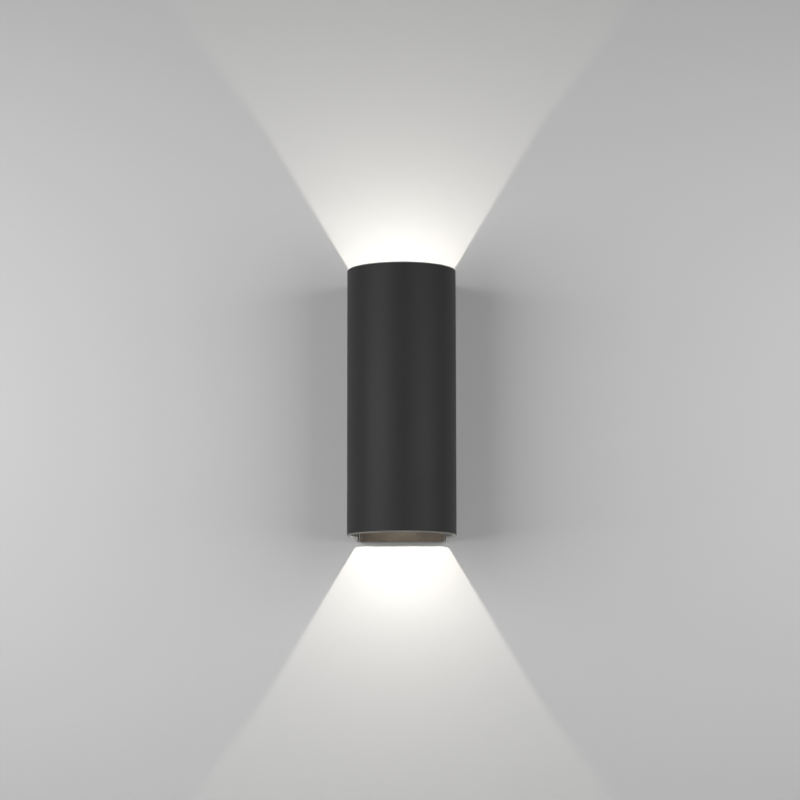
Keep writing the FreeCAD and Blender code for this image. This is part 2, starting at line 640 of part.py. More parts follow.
def upper_bulkhead():
    """Cast plate that fills the tube's section, with collar, fins, bosses and a cover ledge."""
    body = new_body("upper_bulkhead")
    inside = half_keyhole("tube_radius - tube_wall - bulkhead_clearance",
                          "neck_half_width - neck_wall - bulkhead_clearance",
                          "neck_fillet + neck_wall + bulkhead_clearance", "-bulkhead_from_wall")
    pad(body, "plate", "XY_Plane", "bay_half_height", BULKHEAD_OUT, inside)
    mirror_whole(body, "YZ_Plane")
    pad(body, "collar", "XY_Plane", BULKHEAD_OUT, COLLAR_TOP,
        circle("0", AXIS_Y, "collar_outer_radius"), circle("0", AXIS_Y, "collar_inner_radius"))

    first_fin = "-(fin_count - 1) / 2 * fin_pitch"
    fin = pad(body, "fin", "XY_Plane", "bay_half_height", "bay_half_height - fin_height",
              rectangle(f"{first_fin} - fin_thickness / 2", f"{first_fin} + fin_thickness / 2",
                        "-fins_front", "-fins_rear"))
    row(body, fin, "X_Axis", "fin_count", "fin_pitch")
    for side, sign in (("left", "-"), ("right", "")):
        inner, outer = (f"{sign}(boss_across {way} boss_width / 2)" for way in "-+")
        pad(body, f"{side}_boss", "XY_Plane", "bay_half_height", "bay_half_height - boss_height",
            rectangle(inner, outer, CHASSIS_WEB_REAR, "-boss_rear"))
    pad(body, "ledge", "XY_Plane", "bay_half_height", "bay_half_height - ledge_height",
        rectangle("-ledge_half_width", "ledge_half_width", f"{LIP_REAR} - ledge_depth", LIP_REAR))

    thread_radius = "screw_radius + thread_clearance"
    pocket(body, "lead_hole", "XY_Plane", BULKHEAD_OUT, "bay_half_height",
           circle("0", LEAD_HOLE_Y, "lead_hole_radius"))
    pocket(body, "bezel_threads", "XY_Plane", COLLAR_TOP, BULKHEAD_OUT,
           *circles(ring_screw_places(), thread_radius))
    pocket(body, "board_threads", "XY_Plane", BULKHEAD_OUT, "bay_half_height + end_margin",
           *circles(left_and_right("board_screw_across", AXIS_Y), thread_radius))
    pocket(body, "chassis_threads", "XZ_Plane", CHASSIS_WEB_REAR, "-boss_rear - end_margin",
           *circles(left_and_right("boss_across", "chassis_screw_level"), thread_radius))
    thread_end = "(neck_half_width - side_screw_length - end_margin)"
    for side, sign in (("left", "-"), ("right", "")):
        pocket(body, f"{side}_threads", "YZ_Plane", f"{sign}neck_half_width", f"{sign}{thread_end}",
               *circles(side_screw_places(), "side_screw_radius + thread_clearance"))
    return body


def led_board():
    body = new_body("led_board_upper")
    pad(body, "disc", "XY_Plane", BULKHEAD_OUT, BOARD_TOP, circle("0", AXIS_Y, "board_radius"),
        *circles(left_and_right("board_screw_across", AXIS_Y), "screw_hole_radius"))
    return body


def led_emitter():
    """Square ceramic base with the round light-emitting field on it."""
    body = new_body("led_emitter_upper")
    base_top = f"{BOARD_TOP} + emitter_base"
    pad(body, "base", "XY_Plane", BOARD_TOP, base_top,
        rectangle("-emitter_half_width", "emitter_half_width",
                  f"{AXIS_Y} - emitter_half_width", f"{AXIS_Y} + emitter_half_width"))
    pad(body, "field", "XY_Plane", base_top, f"{base_top} + emitter_field",
        circle("0", AXIS_Y, "emitter_field_radius"))
    return body


def led_connector():
    body = new_body("led_connector_upper")
    pad(body, "housing", "XY_Plane", BOARD_TOP, f"{BOARD_TOP} + connector_height",
        rectangle("-connector_half_width", "connector_half_width",
                  f"{AXIS_Y} - connector_far", f"{AXIS_Y} - connector_near"))
    return body


def glass_seal():
    body = new_body("glass_seal_upper")
    pad(body, "ring", "XY_Plane", COLLAR_TOP, GLASS_BOTTOM, circle("0", AXIS_Y, "glass_radius"),
        circle("0", AXIS_Y, "collar_inner_radius"))
    return body


def glass():
    body = new_body("glass_upper")
    pad(body, "disc", "XY_Plane", GLASS_BOTTOM, GLASS_TOP, circle("0", AXIS_Y, "glass_radius"))
    return body


def bezel_ring():
    """Ring with a pocket for the glass and a lip over its edge, both chamfered at the top."""
    body = new_body("bezel_ring_upper")
    pocket_radius = "glass_radius + bezel_pocket_clearance"
    profile = ((pocket_radius, COLLAR_TOP), ("collar_outer_radius", COLLAR_TOP),
               ("collar_outer_radius", f"{BEZEL_TOP} - bezel_chamfer"),
               ("collar_outer_radius - bezel_chamfer", BEZEL_TOP),
               ("bezel_bore_radius + bezel_chamfer", BEZEL_TOP),
               ("bezel_bore_radius", f"{BEZEL_TOP} - bezel_chamfer"),
               ("bezel_bore_radius", GLASS_TOP), (pocket_radius, GLASS_TOP))
    outline = [(f"{AXIS_Y} - ({radius})", level) for radius, level in profile]
    revolve(body, "ring", "YZ_Plane", "0", (AXIS_Y, COLLAR_TOP), (AXIS_Y, BEZEL_TOP), polygon(*outline))
    pocket(body, "screw_holes", "XY_Plane", BEZEL_TOP, COLLAR_TOP,
           *circles(ring_screw_places(), "screw_hole_radius"))
    return body


def light_unit_screws():
    """Screws of the bezel rings and of the boards, in both halves."""
    ring_screws = round_head_screws("bezel_screws", "XY_Plane", BEZEL_TOP,
                                    f"{BULKHEAD_OUT} + end_margin",
                                    f"{BEZEL_TOP} + screw_head_height", ring_screw_places())
    mirror_whole(ring_screws, "XY_Plane")
    board_screws = round_head_screws("led_board_screws", "XY_Plane", BOARD_TOP,
                                     f"{BOARD_TOP} - screw_length",
                                     f"{BOARD_TOP} + screw_head_height",
                                     left_and_right("board_screw_across", AXIS_Y))
    mirror_whole(board_screws, "XY_Plane")


# ---------------------------------------------------------------------------------------------
# wiring space

def chassis():
    """Tray folded from sheet: a web behind the driver, two sides and two rear lips."""
    body = new_body("chassis")
    inner_side = "chassis_half_width - chassis_sheet"
    half = (("0", "-chassis_front"), ("chassis_half_width", "-chassis_front"),
            ("chassis_half_width", LIP_REAR), ("chassis_lip_inner", LIP_REAR),
            ("chassis_lip_inner", LIP_FRONT), (inner_side, LIP_FRONT),
            (inner_side, CHASSIS_WEB_REAR), ("0", CHASSIS_WEB_REAR))
    pad(body, "sheet", "XY_Plane", "-bay_half_height", "bay_half_height", polygon(*half))
    mirror_whole(body, "YZ_Plane")
    dress_edges(body, "PartDesign::Fillet", "outer_bends", "chassis_bend_radius",
                lambda edge: at_fold(edge, "chassis_half_width", "-chassis_front", LIP_REAR))
    dress_edges(body, "PartDesign::Fillet", "inner_bends", "chassis_bend_radius - chassis_sheet",
                lambda edge: at_fold(edge, inner_side, CHASSIS_WEB_REAR, LIP_FRONT))
    windows = [rectangle(f"{sign}lead_window_inner", f"{sign}lead_window_outer",
                         "-bay_half_height", "-bay_half_height + lead_window_height")
               for sign in ("", "-")]
    pocket(body, "lead_windows", "XZ_Plane", "-chassis_front", CHASSIS_WEB_REAR, *windows)
    places = four_places("boss_across", "chassis_screw_level")
    places += above_and_below("0", "driver_screw_level")
    places += left_and_right("block_screw_across", "0")
    pocket(body, "web_holes", "XZ_Plane", "-chassis_front", CHASSIS_WEB_REAR,
           *circles(places, "screw_hole_radius"))
    pocket(body, "lip_holes", "XZ_Plane", LIP_FRONT, LIP_REAR,
           *circles(four_places("cover_screw_across", "cover_screw_level"), "screw_hole_radius"))


def driver():
    """Moulded case with a screw ear at each end."""
    body = new_body("driver")
    front = "-(chassis_front + driver_depth)"
    pad(body, "case", "XZ_Plane", "-chassis_front", front,
        rectangle("-driver_half_width", "driver_half_width", "-driver_half_height", "driver_half_height"))
    dress_edges(body, "PartDesign::Fillet", "corners", "driver_corner_radius",
                lambda edge: edge.CenterOfMass.y < value("-chassis_front") - NEAR)
    ear_end = "(driver_half_height + driver_ear_length)"
    ear_front = "-(chassis_front + driver_ear_thickness)"
    pad(body, "ears", "XZ_Plane", "-chassis_front", ear_front,
        rectangle("-driver_ear_half_width", "driver_ear_half_width", f"-{ear_end}", ear_end))
    pocket(body, "ear_holes", "XZ_Plane", ear_front, "-chassis_front",
           *circles(above_and_below("0", "driver_screw_level"), "screw_hole_radius"))


def terminal_block():
    """Three poles in a row: a bore for each wire end, and a hole over it for its clamp screw."""
    body = new_body("terminal_block")
    pad(body, "block", "XZ_Plane", CHASSIS_WEB_REAR, BLOCK_REAR,
        rectangle("-block_half_width", "block_half_width", "-block_half_height", "block_half_height"))
    for side, sign in (("upper", ""), ("lower", "-")):
        pocket(body, f"{side}_wire_bores", "XY_Plane", f"{sign}block_half_height",
               f"{sign}(block_half_height - pole_bore_depth)",
               *circles([(pole, "-pole_bore_from_wall") for pole in POLES], "pole_bore_radius"))
    pocket(body, "clamp_holes", "XZ_Plane", BLOCK_REAR, "-pole_bore_from_wall",
           *circles(pole_screw_places(), "clamp_hole_radius"))
    screw_places = left_and_right("block_screw_across", "0")
    recess_floor = f"{BLOCK_REAR} - block_screw_recess"
    pocket(body, "screw_recesses", "XZ_Plane", BLOCK_REAR, recess_floor,
           *circles(screw_places, "screw_head_radius"))
    pocket(body, "screw_holes", "XZ_Plane", recess_floor, CHASSIS_WEB_REAR,
           *circles(screw_places, "screw_hole_radius"))


def terminal_screws():
    """Slotted clamp screws: the lower outer two press on the supply leads."""
    body = new_body("terminal_screws")
    top = f"({BLOCK_REAR} - clamp_screw_recess)"
    pad(body, "screws", "XZ_Plane", top, "-pole_bore_from_wall + supply_lead_radius",
        *circles(pole_screw_places(), "clamp_screw_radius"))
    slots = [rectangle(f"{across} - clamp_screw_radius", f"{across} + clamp_screw_radius",
                       f"{up} - clamp_slot_half_width", f"{up} + clamp_slot_half_width")
             for across, up in pole_screw_places()]
    pocket(body, "slots", "XZ_Plane", top, f"{top} - clamp_slot_depth", *slots)


def rear_cover():
    """Plate with a raised seat for the cable gland."""
    body = new_body("rear_cover")
    pad(body, "plate", "XZ_Plane", COVER_FRONT, COVER_REAR,
        rectangle("-cover_half_width", "cover_half_width", "-cover_half_height", "cover_half_height"))
    dress_edges(body, "PartDesign::Fillet", "corners", "cover_corner_radius",
                lambda edge: runs_along(edge, 1))
    pad(body, "gland_seat", "XZ_Plane", COVER_REAR, GLAND_SEAT_REAR,
        circle("0", "gland_level", "gland_seat_radius"))
    pocket(body, "gland_hole", "XZ_Plane", GLAND_SEAT_REAR, COVER_FRONT,
           circle("0", "gland_level", "gland_hole_radius"))
    pocket(body, "screw_holes", "XZ_Plane", COVER_REAR, COVER_FRONT,
           *circles(four_places("cover_screw_across", "cover_screw_level"), "screw_hole_radius"))


def rear_cover_gasket():
    """Flat frame between the cover, the tray's lips and the bulkheads' ledges."""
    body = new_body("rear_cover_gasket")
    pad(body, "frame", "XZ_Plane", LIP_REAR, COVER_FRONT,
        rectangle("-cover_half_width", "cover_half_width", "-cover_half_height", "cover_half_height"),
        rectangle("-gasket_frame_inner_across", "gasket_frame_inner_across",
                  "-gasket_frame_inner_up", "gasket_frame_inner_up"))
    pocket(body, "screw_holes", "XZ_Plane", COVER_FRONT, LIP_REAR,
           *circles(four_places("cover_screw_across", "cover_screw_level"), "screw_hole_radius"))


def wiring_space_screws():
    """Screws of the tray, the driver, the terminal block and the rear cover."""
    web_front = "-chassis_front"
    round_head_screws("chassis_screws", "XZ_Plane", web_front, f"{web_front} + screw_length",
                      f"{web_front} - screw_head_height",
                      four_places("boss_across", "chassis_screw_level"))
    ear_front = "-(chassis_front + driver_ear_thickness)"
    round_head_screws("driver_screws", "XZ_Plane", ear_front, f"{ear_front} + screw_length",
                      f"{ear_front} - screw_head_height", above_and_below("0", "driver_screw_level"))
    recess = f"{BLOCK_REAR} - block_screw_recess"
    round_head_screws("terminal_block_screws", "XZ_Plane", recess, web_front,
                      f"{recess} + screw_head_height", left_and_right("block_screw_across", "0"))
    round_head_screws("rear_cover_screws", "XZ_Plane", COVER_REAR, f"{COVER_REAR} - screw_length",
                      f"{COVER_REAR} + screw_head_height",
                      four_places("cover_screw_across", "cover_screw_level"))


def cable_gland():
    """Gland in four pieces: body through the cover, lock nut inside, seal and dome nut outside."""
    hex_rear = f"({GLAND_SEAT_REAR} + gland_hex_height)"
    neck_rear = f"({hex_rear} + gland_neck_length)"
    nut_rear = f"({hex_rear} + gland_nut_length)"
    inner_end = f"({COVER_FRONT} - gland_inner_length)"
    centre = ("0", "gland_level")

    body = new_body("gland_body")
    pad(body, "thread", "XZ_Plane", GLAND_SEAT_REAR, inner_end, circle(*centre, "gland_thread_radius"))
    pad(body, "hexagon", "XZ_Plane", GLAND_SEAT_REAR, hex_rear, hexagon(*centre, "gland_hex_radius"))
    pad(body, "neck", "XZ_Plane", hex_rear, neck_rear, circle(*centre, "gland_neck_radius"))
    pocket(body, "bore", "XZ_Plane", neck_rear, inner_end, circle(*centre, "gland_bore_radius"))

    locknut = new_body("gland_locknut")
    pad(locknut, "hexagon", "XZ_Plane", COVER_FRONT, f"{COVER_FRONT} - locknut_height",
        hexagon(*centre, "gland_hex_radius"), circle(*centre, "gland_thread_radius"))

    seal = new_body("gland_seal")
    seal_rear = f"({nut_rear} - gland_nut_wall)"
    pad(seal, "sleeve", "XZ_Plane", f"{seal_rear} - gland_seal_length", seal_rear,
        circle(*centre, "gland_bore_radius"), circle(*centre, "gland_seal_bore_radius"))

    nut = new_body("gland_nut")
    pad(nut, "dome", "XZ_Plane", hex_rear, nut_rear, circle(*centre, "gland_nut_radius"))
    dress_edges(nut, "PartDesign::Fillet", "dome_edge", "gland_nut_wall",
                lambda edge: edge.CenterOfMass.y > value(nut_rear) - NEAR)
    pocket(nut, "cavity", "XZ_Plane", hex_rear, seal_rear, circle(*centre, "gland_neck_radius"))
    pocket(nut, "mouth", "XZ_Plane", seal_rear, nut_rear, circle(*centre, "gland_nut_bore_radius"))


# ---------------------------------------------------------------------------------------------
# leads that the housing holds all the way

def add_pipe(body, name, across, route, bends, radius, start):
    """A wire on the upright plane at across, with a tangent arc of one radius at each bend.

    The route is a list of places (y, z); its first run is upright and begins at the level start.
    """
    sketch = new_sketch(body, f"{name}_route", "YZ_Plane", across, [])
    points = [FreeCAD.Vector(value(across), value(up), 0) for across, up in route]
    bend_radius = value(bends)
    run_start = points[0]
    previous = None
    for corner, following in zip(points[1:], points[2:] + [None]):
        run_end = corner
        if following is not None:
            run_end = corner - (corner - run_start).normalize() * bend_radius
        line = add_line(sketch, run_start, run_end)
        if previous is not None:
            sketch.addConstraint(Sketcher.Constraint("Tangent", previous[0], previous[1], line, START))
        previous = (line, END)
        if following is None:
            break
        arc_end = corner + (following - corner).normalize() * bend_radius
        centre = run_end + (arc_end - corner)
        middle = centre + (corner - centre).normalize() * bend_radius
        arc = sketch.addGeometry(Part.Arc(run_end, middle, arc_end))
        counter_clockwise = (run_end - centre).cross(arc_end - centre).z > 0
        entry, leave = (START, END) if counter_clockwise else (END, START)
        sketch.addConstraint(Sketcher.Constraint("Tangent", line, END, arc, entry))
        hold_radius(sketch, arc, bends)
        previous = (arc, leave)
        run_start = arc_end
    doc.recompute()
    section = new_sketch(body, f"{name}_section", "XY_Plane", start, [circle(across, route[0][0], radius)])
    pipe = body.newObject("PartDesign::AdditivePipe", name)
    pipe.Profile = section
    pipe.Spine = sketch
    doc.recompute()
    length = sketch.Shape.Length
    area = math.pi * value(radius) ** 2
    print(f"{name}: length {length:.1f} mm, bend radius {bend_radius} mm, "
          f"volume {body.Shape.Volume:.2f} of {length * area:.2f} mm3")


def led_leads():
    """A pair of wires from the driver through the bulkhead, bent over to the board's connector."""
    body = new_body("led_leads_upper")
    level = "led_lead_bend_level + led_lead_bend"
    route = [(LEAD_HOLE_Y, "driver_half_height"), (LEAD_HOLE_Y, level), (f"{AXIS_Y} - connector_far", level)]
    add_pipe(body, "led_lead_pipe", "led_lead_across", route, "led_lead_bend", "led_lead_radius",
             "driver_half_height")
    mirror_whole(body, "YZ_Plane")
    return body


def supply_leads():
    """Two wires from the driver's lower end, under the tray's web and up into the outer poles."""
    body = new_body("supply_leads")
    front, rear = "-supply_lead_front", "-pole_bore_from_wall"
    end = "-(block_half_height - pole_bore_depth)"
    floor = "-supply_lead_floor"
    route = [(front, "-driver_half_height"), (front, floor), (rear, floor), (rear, end)]
    add_pipe(body, "supply_lead_pipe", "pole_pitch", route, "supply_lead_bend", "supply_lead_radius",
             "-driver_half_height")
    mirror_whole(body, "YZ_Plane")


def lead_grommets():
    """Rubber plugs in the bulkheads, each with two bores for the pair of wires."""
    body = new_body("lead_grommets")
    bores = circles(left_and_right("led_lead_across", LEAD_HOLE_Y), "led_lead_radius")
    pad(body, "flange", "XY_Plane", "bay_half_height - lead_grommet_flange", "bay_half_height",
        circle("0", LEAD_HOLE_Y, "lead_grommet_flange_radius"))
    pad(body, "plug", "XY_Plane", "bay_half_height", "led_lead_bend_level",
        circle("0", LEAD_HOLE_Y, "lead_hole_radius"))
    pocket(body, "bores", "XY_Plane", "led_lead_bend_level", "bay_half_height - lead_grommet_flange", *bores)
    mirror_whole(body, "XY_Plane")


# ---------------------------------------------------------------------------------------------

def check_document():
    """Stop before anything is written if an object or a sub-part is not sound."""
    for item in doc.Objects:
        if "Invalid" in item.State or "Error" in item.State:
            raise RuntimeError(f"{item.Label} failed: {item.State}")
    for part in sub_parts:
        if part.Shape.isNull() or not part.Shape.isValid():
            raise RuntimeError(f"{part.Label} has no valid shape")


def export_parts():
    os.makedirs("parts", exist_ok=True)
    for part in sub_parts:
        part.Shape.exportStep(os.path.join("parts", f"{part.Label}.step"))
        box = part.Shape.BoundBox
        print(f"{part.Label}: {len(part.Shape.Solids)} solid(s), "
              f"{box.XLength:.1f} x {box.YLength:.1f} x {box.ZLength:.1f} mm")


fill_sheet()
wall_bracket()
wall_gasket()
cable_grommet()
bracket_earth_screw()
tube_body()
bulkhead_screws()
grub_screws()
lower_twin(upper_bulkhead(), "lower_bulkhead")
lower_twin(led_board(), "led_board_lower")
lower_twin(led_emitter(), "led_emitter_lower")
lower_twin(led_connector(), "led_connector_lower")
lower_twin(glass_seal(), "glass_seal_lower")
lower_twin(glass(), "glass_lower")
lower_twin(bezel_ring(), "bezel_ring_lower")
light_unit_screws()
chassis()
driver()
terminal_block()
terminal_screws()
rear_cover()
rear_cover_gasket()
wiring_space_screws()
cable_gland()
lower_twin(led_leads(), "led_leads_lower")
supply_leads()
lead_grommets()
doc.recompute()
check_document()
export_parts()
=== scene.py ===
import functools
import math

import bmesh
import bpy
from mathutils import Matrix, Vector


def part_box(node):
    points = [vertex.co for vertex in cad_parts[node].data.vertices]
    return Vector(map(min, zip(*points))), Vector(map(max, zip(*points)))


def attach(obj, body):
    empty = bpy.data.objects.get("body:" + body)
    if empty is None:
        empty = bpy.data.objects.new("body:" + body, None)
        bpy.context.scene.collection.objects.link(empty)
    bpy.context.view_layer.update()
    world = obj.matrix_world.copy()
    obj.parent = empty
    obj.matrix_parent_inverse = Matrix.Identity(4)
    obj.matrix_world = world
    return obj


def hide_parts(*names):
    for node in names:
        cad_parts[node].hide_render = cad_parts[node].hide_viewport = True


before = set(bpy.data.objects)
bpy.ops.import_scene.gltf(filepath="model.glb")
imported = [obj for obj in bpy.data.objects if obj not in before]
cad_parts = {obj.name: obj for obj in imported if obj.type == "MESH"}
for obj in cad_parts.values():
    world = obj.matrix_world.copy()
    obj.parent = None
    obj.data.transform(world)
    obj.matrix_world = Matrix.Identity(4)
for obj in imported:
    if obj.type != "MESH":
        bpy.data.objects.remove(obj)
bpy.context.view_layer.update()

bl_info = {
    "name": "Tube wall light",
    "version": (1, 0, 0),
    "blender": (4, 5, 0),
    "location": "View3D > Sidebar > Wall light",
    "description": "Finishes, fixings and studio for an up-and-down tube wall light",
    "category": "Object",
}

MM = 0.001
LAMP_HEAD = "lamp_head"
HEXAGON = "hexagon"
COLOUR = {"subtype": "COLOR", "size": 3, "min": 0, "max": 1}
SHARE = {"subtype": "FACTOR", "min": 0, "max": 1}

# Places that the finishes and the new pieces share, in metres, read from the CAD parts.
TUBE_LOW, TUBE_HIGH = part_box("tube_body")
TUBE_RADIUS = TUBE_HIGH.x
HALF_HEIGHT = TUBE_HIGH.z
AXIS_Y = TUBE_LOW.y + TUBE_RADIUS
EMITTER_LOW, EMITTER_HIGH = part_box("led_emitter_upper")

# Sizes of the screws in the tube's side walls, which their bores share.
SIDE_SCREW = {"head_radius": 4 * MM, "head_height": 7 * MM, "shank_radius": 2 * MM, "length": 11 * MM,
              "socket_radius": 1.4 * MM, "socket_depth": 1.6 * MM}
SET_SCREW_RADIUS = 2 * MM
SET_SCREW_TIP_X = 41.3 * MM
BORE_PLAY = 0.1 * MM
THREAD_PLAY = 0.05 * MM
BORE_DEPTH = 6 * MM
BORE_PAST = 0.5 * MM

# The studio, in metres.
WALL_HALF_WIDTH = 3.0
WALL_TOP = 2.4
WALL_Y = 0.0002
FLOOR_LEVEL = -0.95
FLOOR_FRONT = -0.8


# ---- settings ----

class TubeCoatSettings(bpy.types.PropertyGroup):
    """Powder coat of the tube and the bracket"""
    colour: bpy.props.FloatVectorProperty(
        name="Coat colour", description="Colour of the textured black powder coat",
        default=(0.0235, 0.0235, 0.0245), **COLOUR)
    grains: bpy.props.FloatProperty(
        name="Grains", description="Grains of the coat in one metre", default=1500, min=100)
    roughness: bpy.props.FloatProperty(
        name="Roughness", description="Mean roughness of the coat", default=0.56, **SHARE)
    gloss: bpy.props.FloatProperty(
        name="Gloss", description="Strength of the coat's own reflection", default=0.35, **SHARE)
    bracket_colour: bpy.props.FloatVectorProperty(
        name="Bracket colour", description="Colour of the warmer, glossier coat of the bracket",
        default=(0.017, 0.0132, 0.0095), **COLOUR)
    bracket_roughness: bpy.props.FloatProperty(
        name="Bracket roughness", description="Mean roughness of the bracket's coat",
        default=0.33, **SHARE)
    # Paler cut ends: partly a thinner coat, partly a painted highlight for the light that the rims and the
    # lips' tips catch.
    cut_end_and_highlight: bpy.props.FloatVectorProperty(
        name="Cut end colour", description="Colour of the tube's cut ends, where the coat is thin",
        default=(0.225, 0.217, 0.208), **COLOUR)
    bare: bpy.props.FloatVectorProperty(
        name="Worn colour", description="Colour of the coat where edges are rubbed",
        default=(0.085, 0.082, 0.08), **COLOUR)


class TubeSettings(bpy.types.PropertyGroup):
    """Section of the extruded tube, which the Blender piece shares with the CAD"""
    wall: bpy.props.FloatProperty(
        name="Round wall", description="Thickness of the round front", unit="LENGTH", default=3 * MM)
    neck_half_width: bpy.props.FloatProperty(
        name="Neck half width", description="Half the width over the two side walls", unit="LENGTH",
        default=45 * MM)
    neck_wall: bpy.props.FloatProperty(
        name="Side wall", description="Thickness of the side walls", unit="LENGTH", default=2.5 * MM)
    fillet: bpy.props.FloatProperty(
        name="Fillet", description="Radius between the round front and the side walls, outside",
        unit="LENGTH", default=6 * MM)
    bead: bpy.props.FloatProperty(
        name="Bead", description="Radius of the beads on the lips", unit="LENGTH", default=1.65 * MM)
    ease: bpy.props.FloatProperty(
        name="Rim ease", description="Radius of the rounded rims at both ends", unit="LENGTH",
        default=0.9 * MM)
    ease_steps: bpy.props.IntProperty(
        name="Rim steps", description="Steps round each rounded rim", default=3, min=1)
    arc_step: bpy.props.FloatProperty(
        name="Arc step", description="Largest turn between two points of the section",
        subtype="ANGLE", default=math.radians(2))


class ScrewSettings(bpy.types.PropertyGroup):
    """Sizes of the socket screws"""
    head_radius: bpy.props.FloatProperty(
        name="Head radius", description="Radius of the round heads", unit="LENGTH", default=2.7 * MM)
    head_height: bpy.props.FloatProperty(
        name="Head height", description="Height of the round heads", unit="LENGTH", default=2 * MM)
    shank_radius: bpy.props.FloatProperty(
        name="Shank radius", description="Radius of the shanks", unit="LENGTH", default=1.5 * MM)
    socket_radius: bpy.props.FloatProperty(
        name="Socket radius", description="Corner radius of the hexagon sockets", unit="LENGTH",
        default=1.2 * MM)
    socket_depth: bpy.props.FloatProperty(
        name="Socket depth", description="Depth of the hexagon sockets", unit="LENGTH",
        default=1.2 * MM)
    turn_seed: bpy.props.IntProperty(
        name="Turn seed", description="Seed for how far each screw is turned", default=7)


class LightSettings(bpy.types.PropertyGroup):
    """The two light units"""
    colour: bpy.props.FloatVectorProperty(
        name="Light colour", description="Colour of the light that leaves the tube",
        default=(1.0, 0.92, 0.845), **COLOUR)
    power: bpy.props.FloatProperty(
        name="Power", description="Radiant power of each light unit", unit="POWER", default=0.315)
    core: bpy.props.FloatProperty(
        name="Core", description="Diameter of the bright core that throws the light", unit="LENGTH",
        default=5 * MM)
    glow: bpy.props.FloatProperty(
        name="Glow", description="Brightness of the lit field where it is seen", default=14)


class StudioSettings(bpy.types.PropertyGroup):
    """Wall, floor, soft lights and camera"""
    wall_colour: bpy.props.FloatVectorProperty(
        name="Wall colour", description="Colour of the plain wall and the floor",
        default=(0.79, 0.79, 0.79), **COLOUR)
    left_power: bpy.props.FloatProperty(
        name="Left light", description="Power of the soft light on the left", unit="POWER",
        default=5.9)
    right_power: bpy.props.FloatProperty(
        name="Right light", description="Power of the soft light on the right", unit="POWER",
        default=4.6)
    floor_power: bpy.props.FloatProperty(
        name="Floor light", description="Power of the light on the floor", unit="POWER", default=1.4)
    surround: bpy.props.FloatProperty(
        name="Surround", description="Brightness of the pale surroundings as light", default=0.01)
    camera_distance: bpy.props.FloatProperty(
        name="Camera distance", description="Level distance from the camera to the tube's axis",
        unit="LENGTH", default=2.6)
    camera_drop: bpy.props.FloatProperty(
        name="Camera drop", description="How far the camera is below the tube's middle",
        unit="LENGTH", default=0.3327)
    camera_tilt: bpy.props.FloatProperty(
        name="Camera tilt", description="Upward tilt of the camera", subtype="ANGLE", default=0.12822)
    camera_yaw: bpy.props.FloatProperty(
        name="Camera yaw", description="Turn of the camera to the right", subtype="ANGLE",
        default=-0.00059)
    camera_roll: bpy.props.FloatProperty(
        name="Camera roll", description="Roll of the camera", subtype="ANGLE", default=-0.00121)
    lens: bpy.props.FloatProperty(
        name="Lens", description="Focal length on a 36 mm sensor, in millimetres", default=123.6)


# ---- node helpers ----

def feed(node, inputs):
    """Set a node's inputs to values, or link them to sockets. A colour is red, green and blue."""
    for name, given in inputs.items():
        socket = node.inputs[name]
        if isinstance(given, bpy.types.NodeSocket):
            given.id_data.links.new(given, socket)
        else:
            socket.default_value = (*given, 1.0) if socket.type == "RGBA" else given


def put(tree, kind, inputs=None, **settings):
    """A new node with its settings and its inputs."""
    made = tree.nodes.new(kind)
    for name, setting in settings.items():
        setattr(made, name, setting)
    feed(made, inputs or {})
    return made


def maths(operation, *given, clamp=False):
    """A Math node on numbers and sockets, in the tree of the first socket."""
    tree = next(one.id_data for one in given if isinstance(one, bpy.types.NodeSocket))
    return put(tree, "ShaderNodeMath", dict(enumerate(given)),
               operation=operation, use_clamp=clamp).outputs[0]


def plus(first, second, clamp=False):
    return maths("ADD", first, second, clamp=clamp)


def minus(first, second):
    return maths("SUBTRACT", first, second)


def times(first, second, clamp=False):
    return maths("MULTIPLY", first, second, clamp=clamp)


def distance(across, along):
    return maths("SQRT", plus(times(across, across), times(along, along)))


def near(place, middle, reach):
    """1 where place is less than reach from middle, or else 0."""
    return maths("LESS_THAN", maths("ABSOLUTE", minus(place, middle)), reach)


def ramp(factor, low, high, to_low=0.0, to_high=1.0):
    """factor from low to high, mapped smoothly onto to_low to to_high."""
    return put(factor.id_data, "ShaderNodeMapRange",
               {"Value": factor, "From Min": low, "From Max": high, "To Min": to_low, "To Max": to_high},
               interpolation_type="SMOOTHSTEP").outputs["Result"]


def mix_colour(factor, first, second):
    """first where factor is 0 and second where it is 1."""
    return put(factor.id_data, "ShaderNodeMix", {0: factor, 6: first, 7: second},
               data_type="RGBA").outputs[2]


def shaded(colour, factor):
    """A colour times a factor that changes over the surface."""
    tree = factor.id_data
    grey = put(tree, "ShaderNodeCombineColor", {"Red": factor, "Green": factor, "Blue": factor})
    return put(tree, "ShaderNodeMix", {0: 1.0, 6: colour, 7: grey.outputs[0]},
               data_type="RGBA", blend_type="MULTIPLY").outputs[2]


def object_place(tree, shift=(0, 0, 0), stretch=(1, 1, 1)):
    """The point on the object, moved by shift and stretched."""
    place = put(tree, "ShaderNodeTexCoord").outputs["Object"]
    return put(tree, "ShaderNodeMapping", {"Vector": place, "Location": shift, "Scale": stretch}).outputs[0]


def split(vector):
    """The X, Y and Z of a vector."""
    return put(vector.id_data, "ShaderNodeSeparateXYZ", {"Vector": vector}).outputs


def noise(place, scale, detail, roughness):
    return put(place.id_data, "ShaderNodeTexNoise",
               {"Vector": place, "Scale": scale, "Detail": detail, "Roughness": roughness}).outputs["Fac"]


def cells(place, scale, feature="F1"):
    return put(place.id_data, "ShaderNodeTexVoronoi", {"Vector": place, "Scale": scale},
               feature=feature).outputs


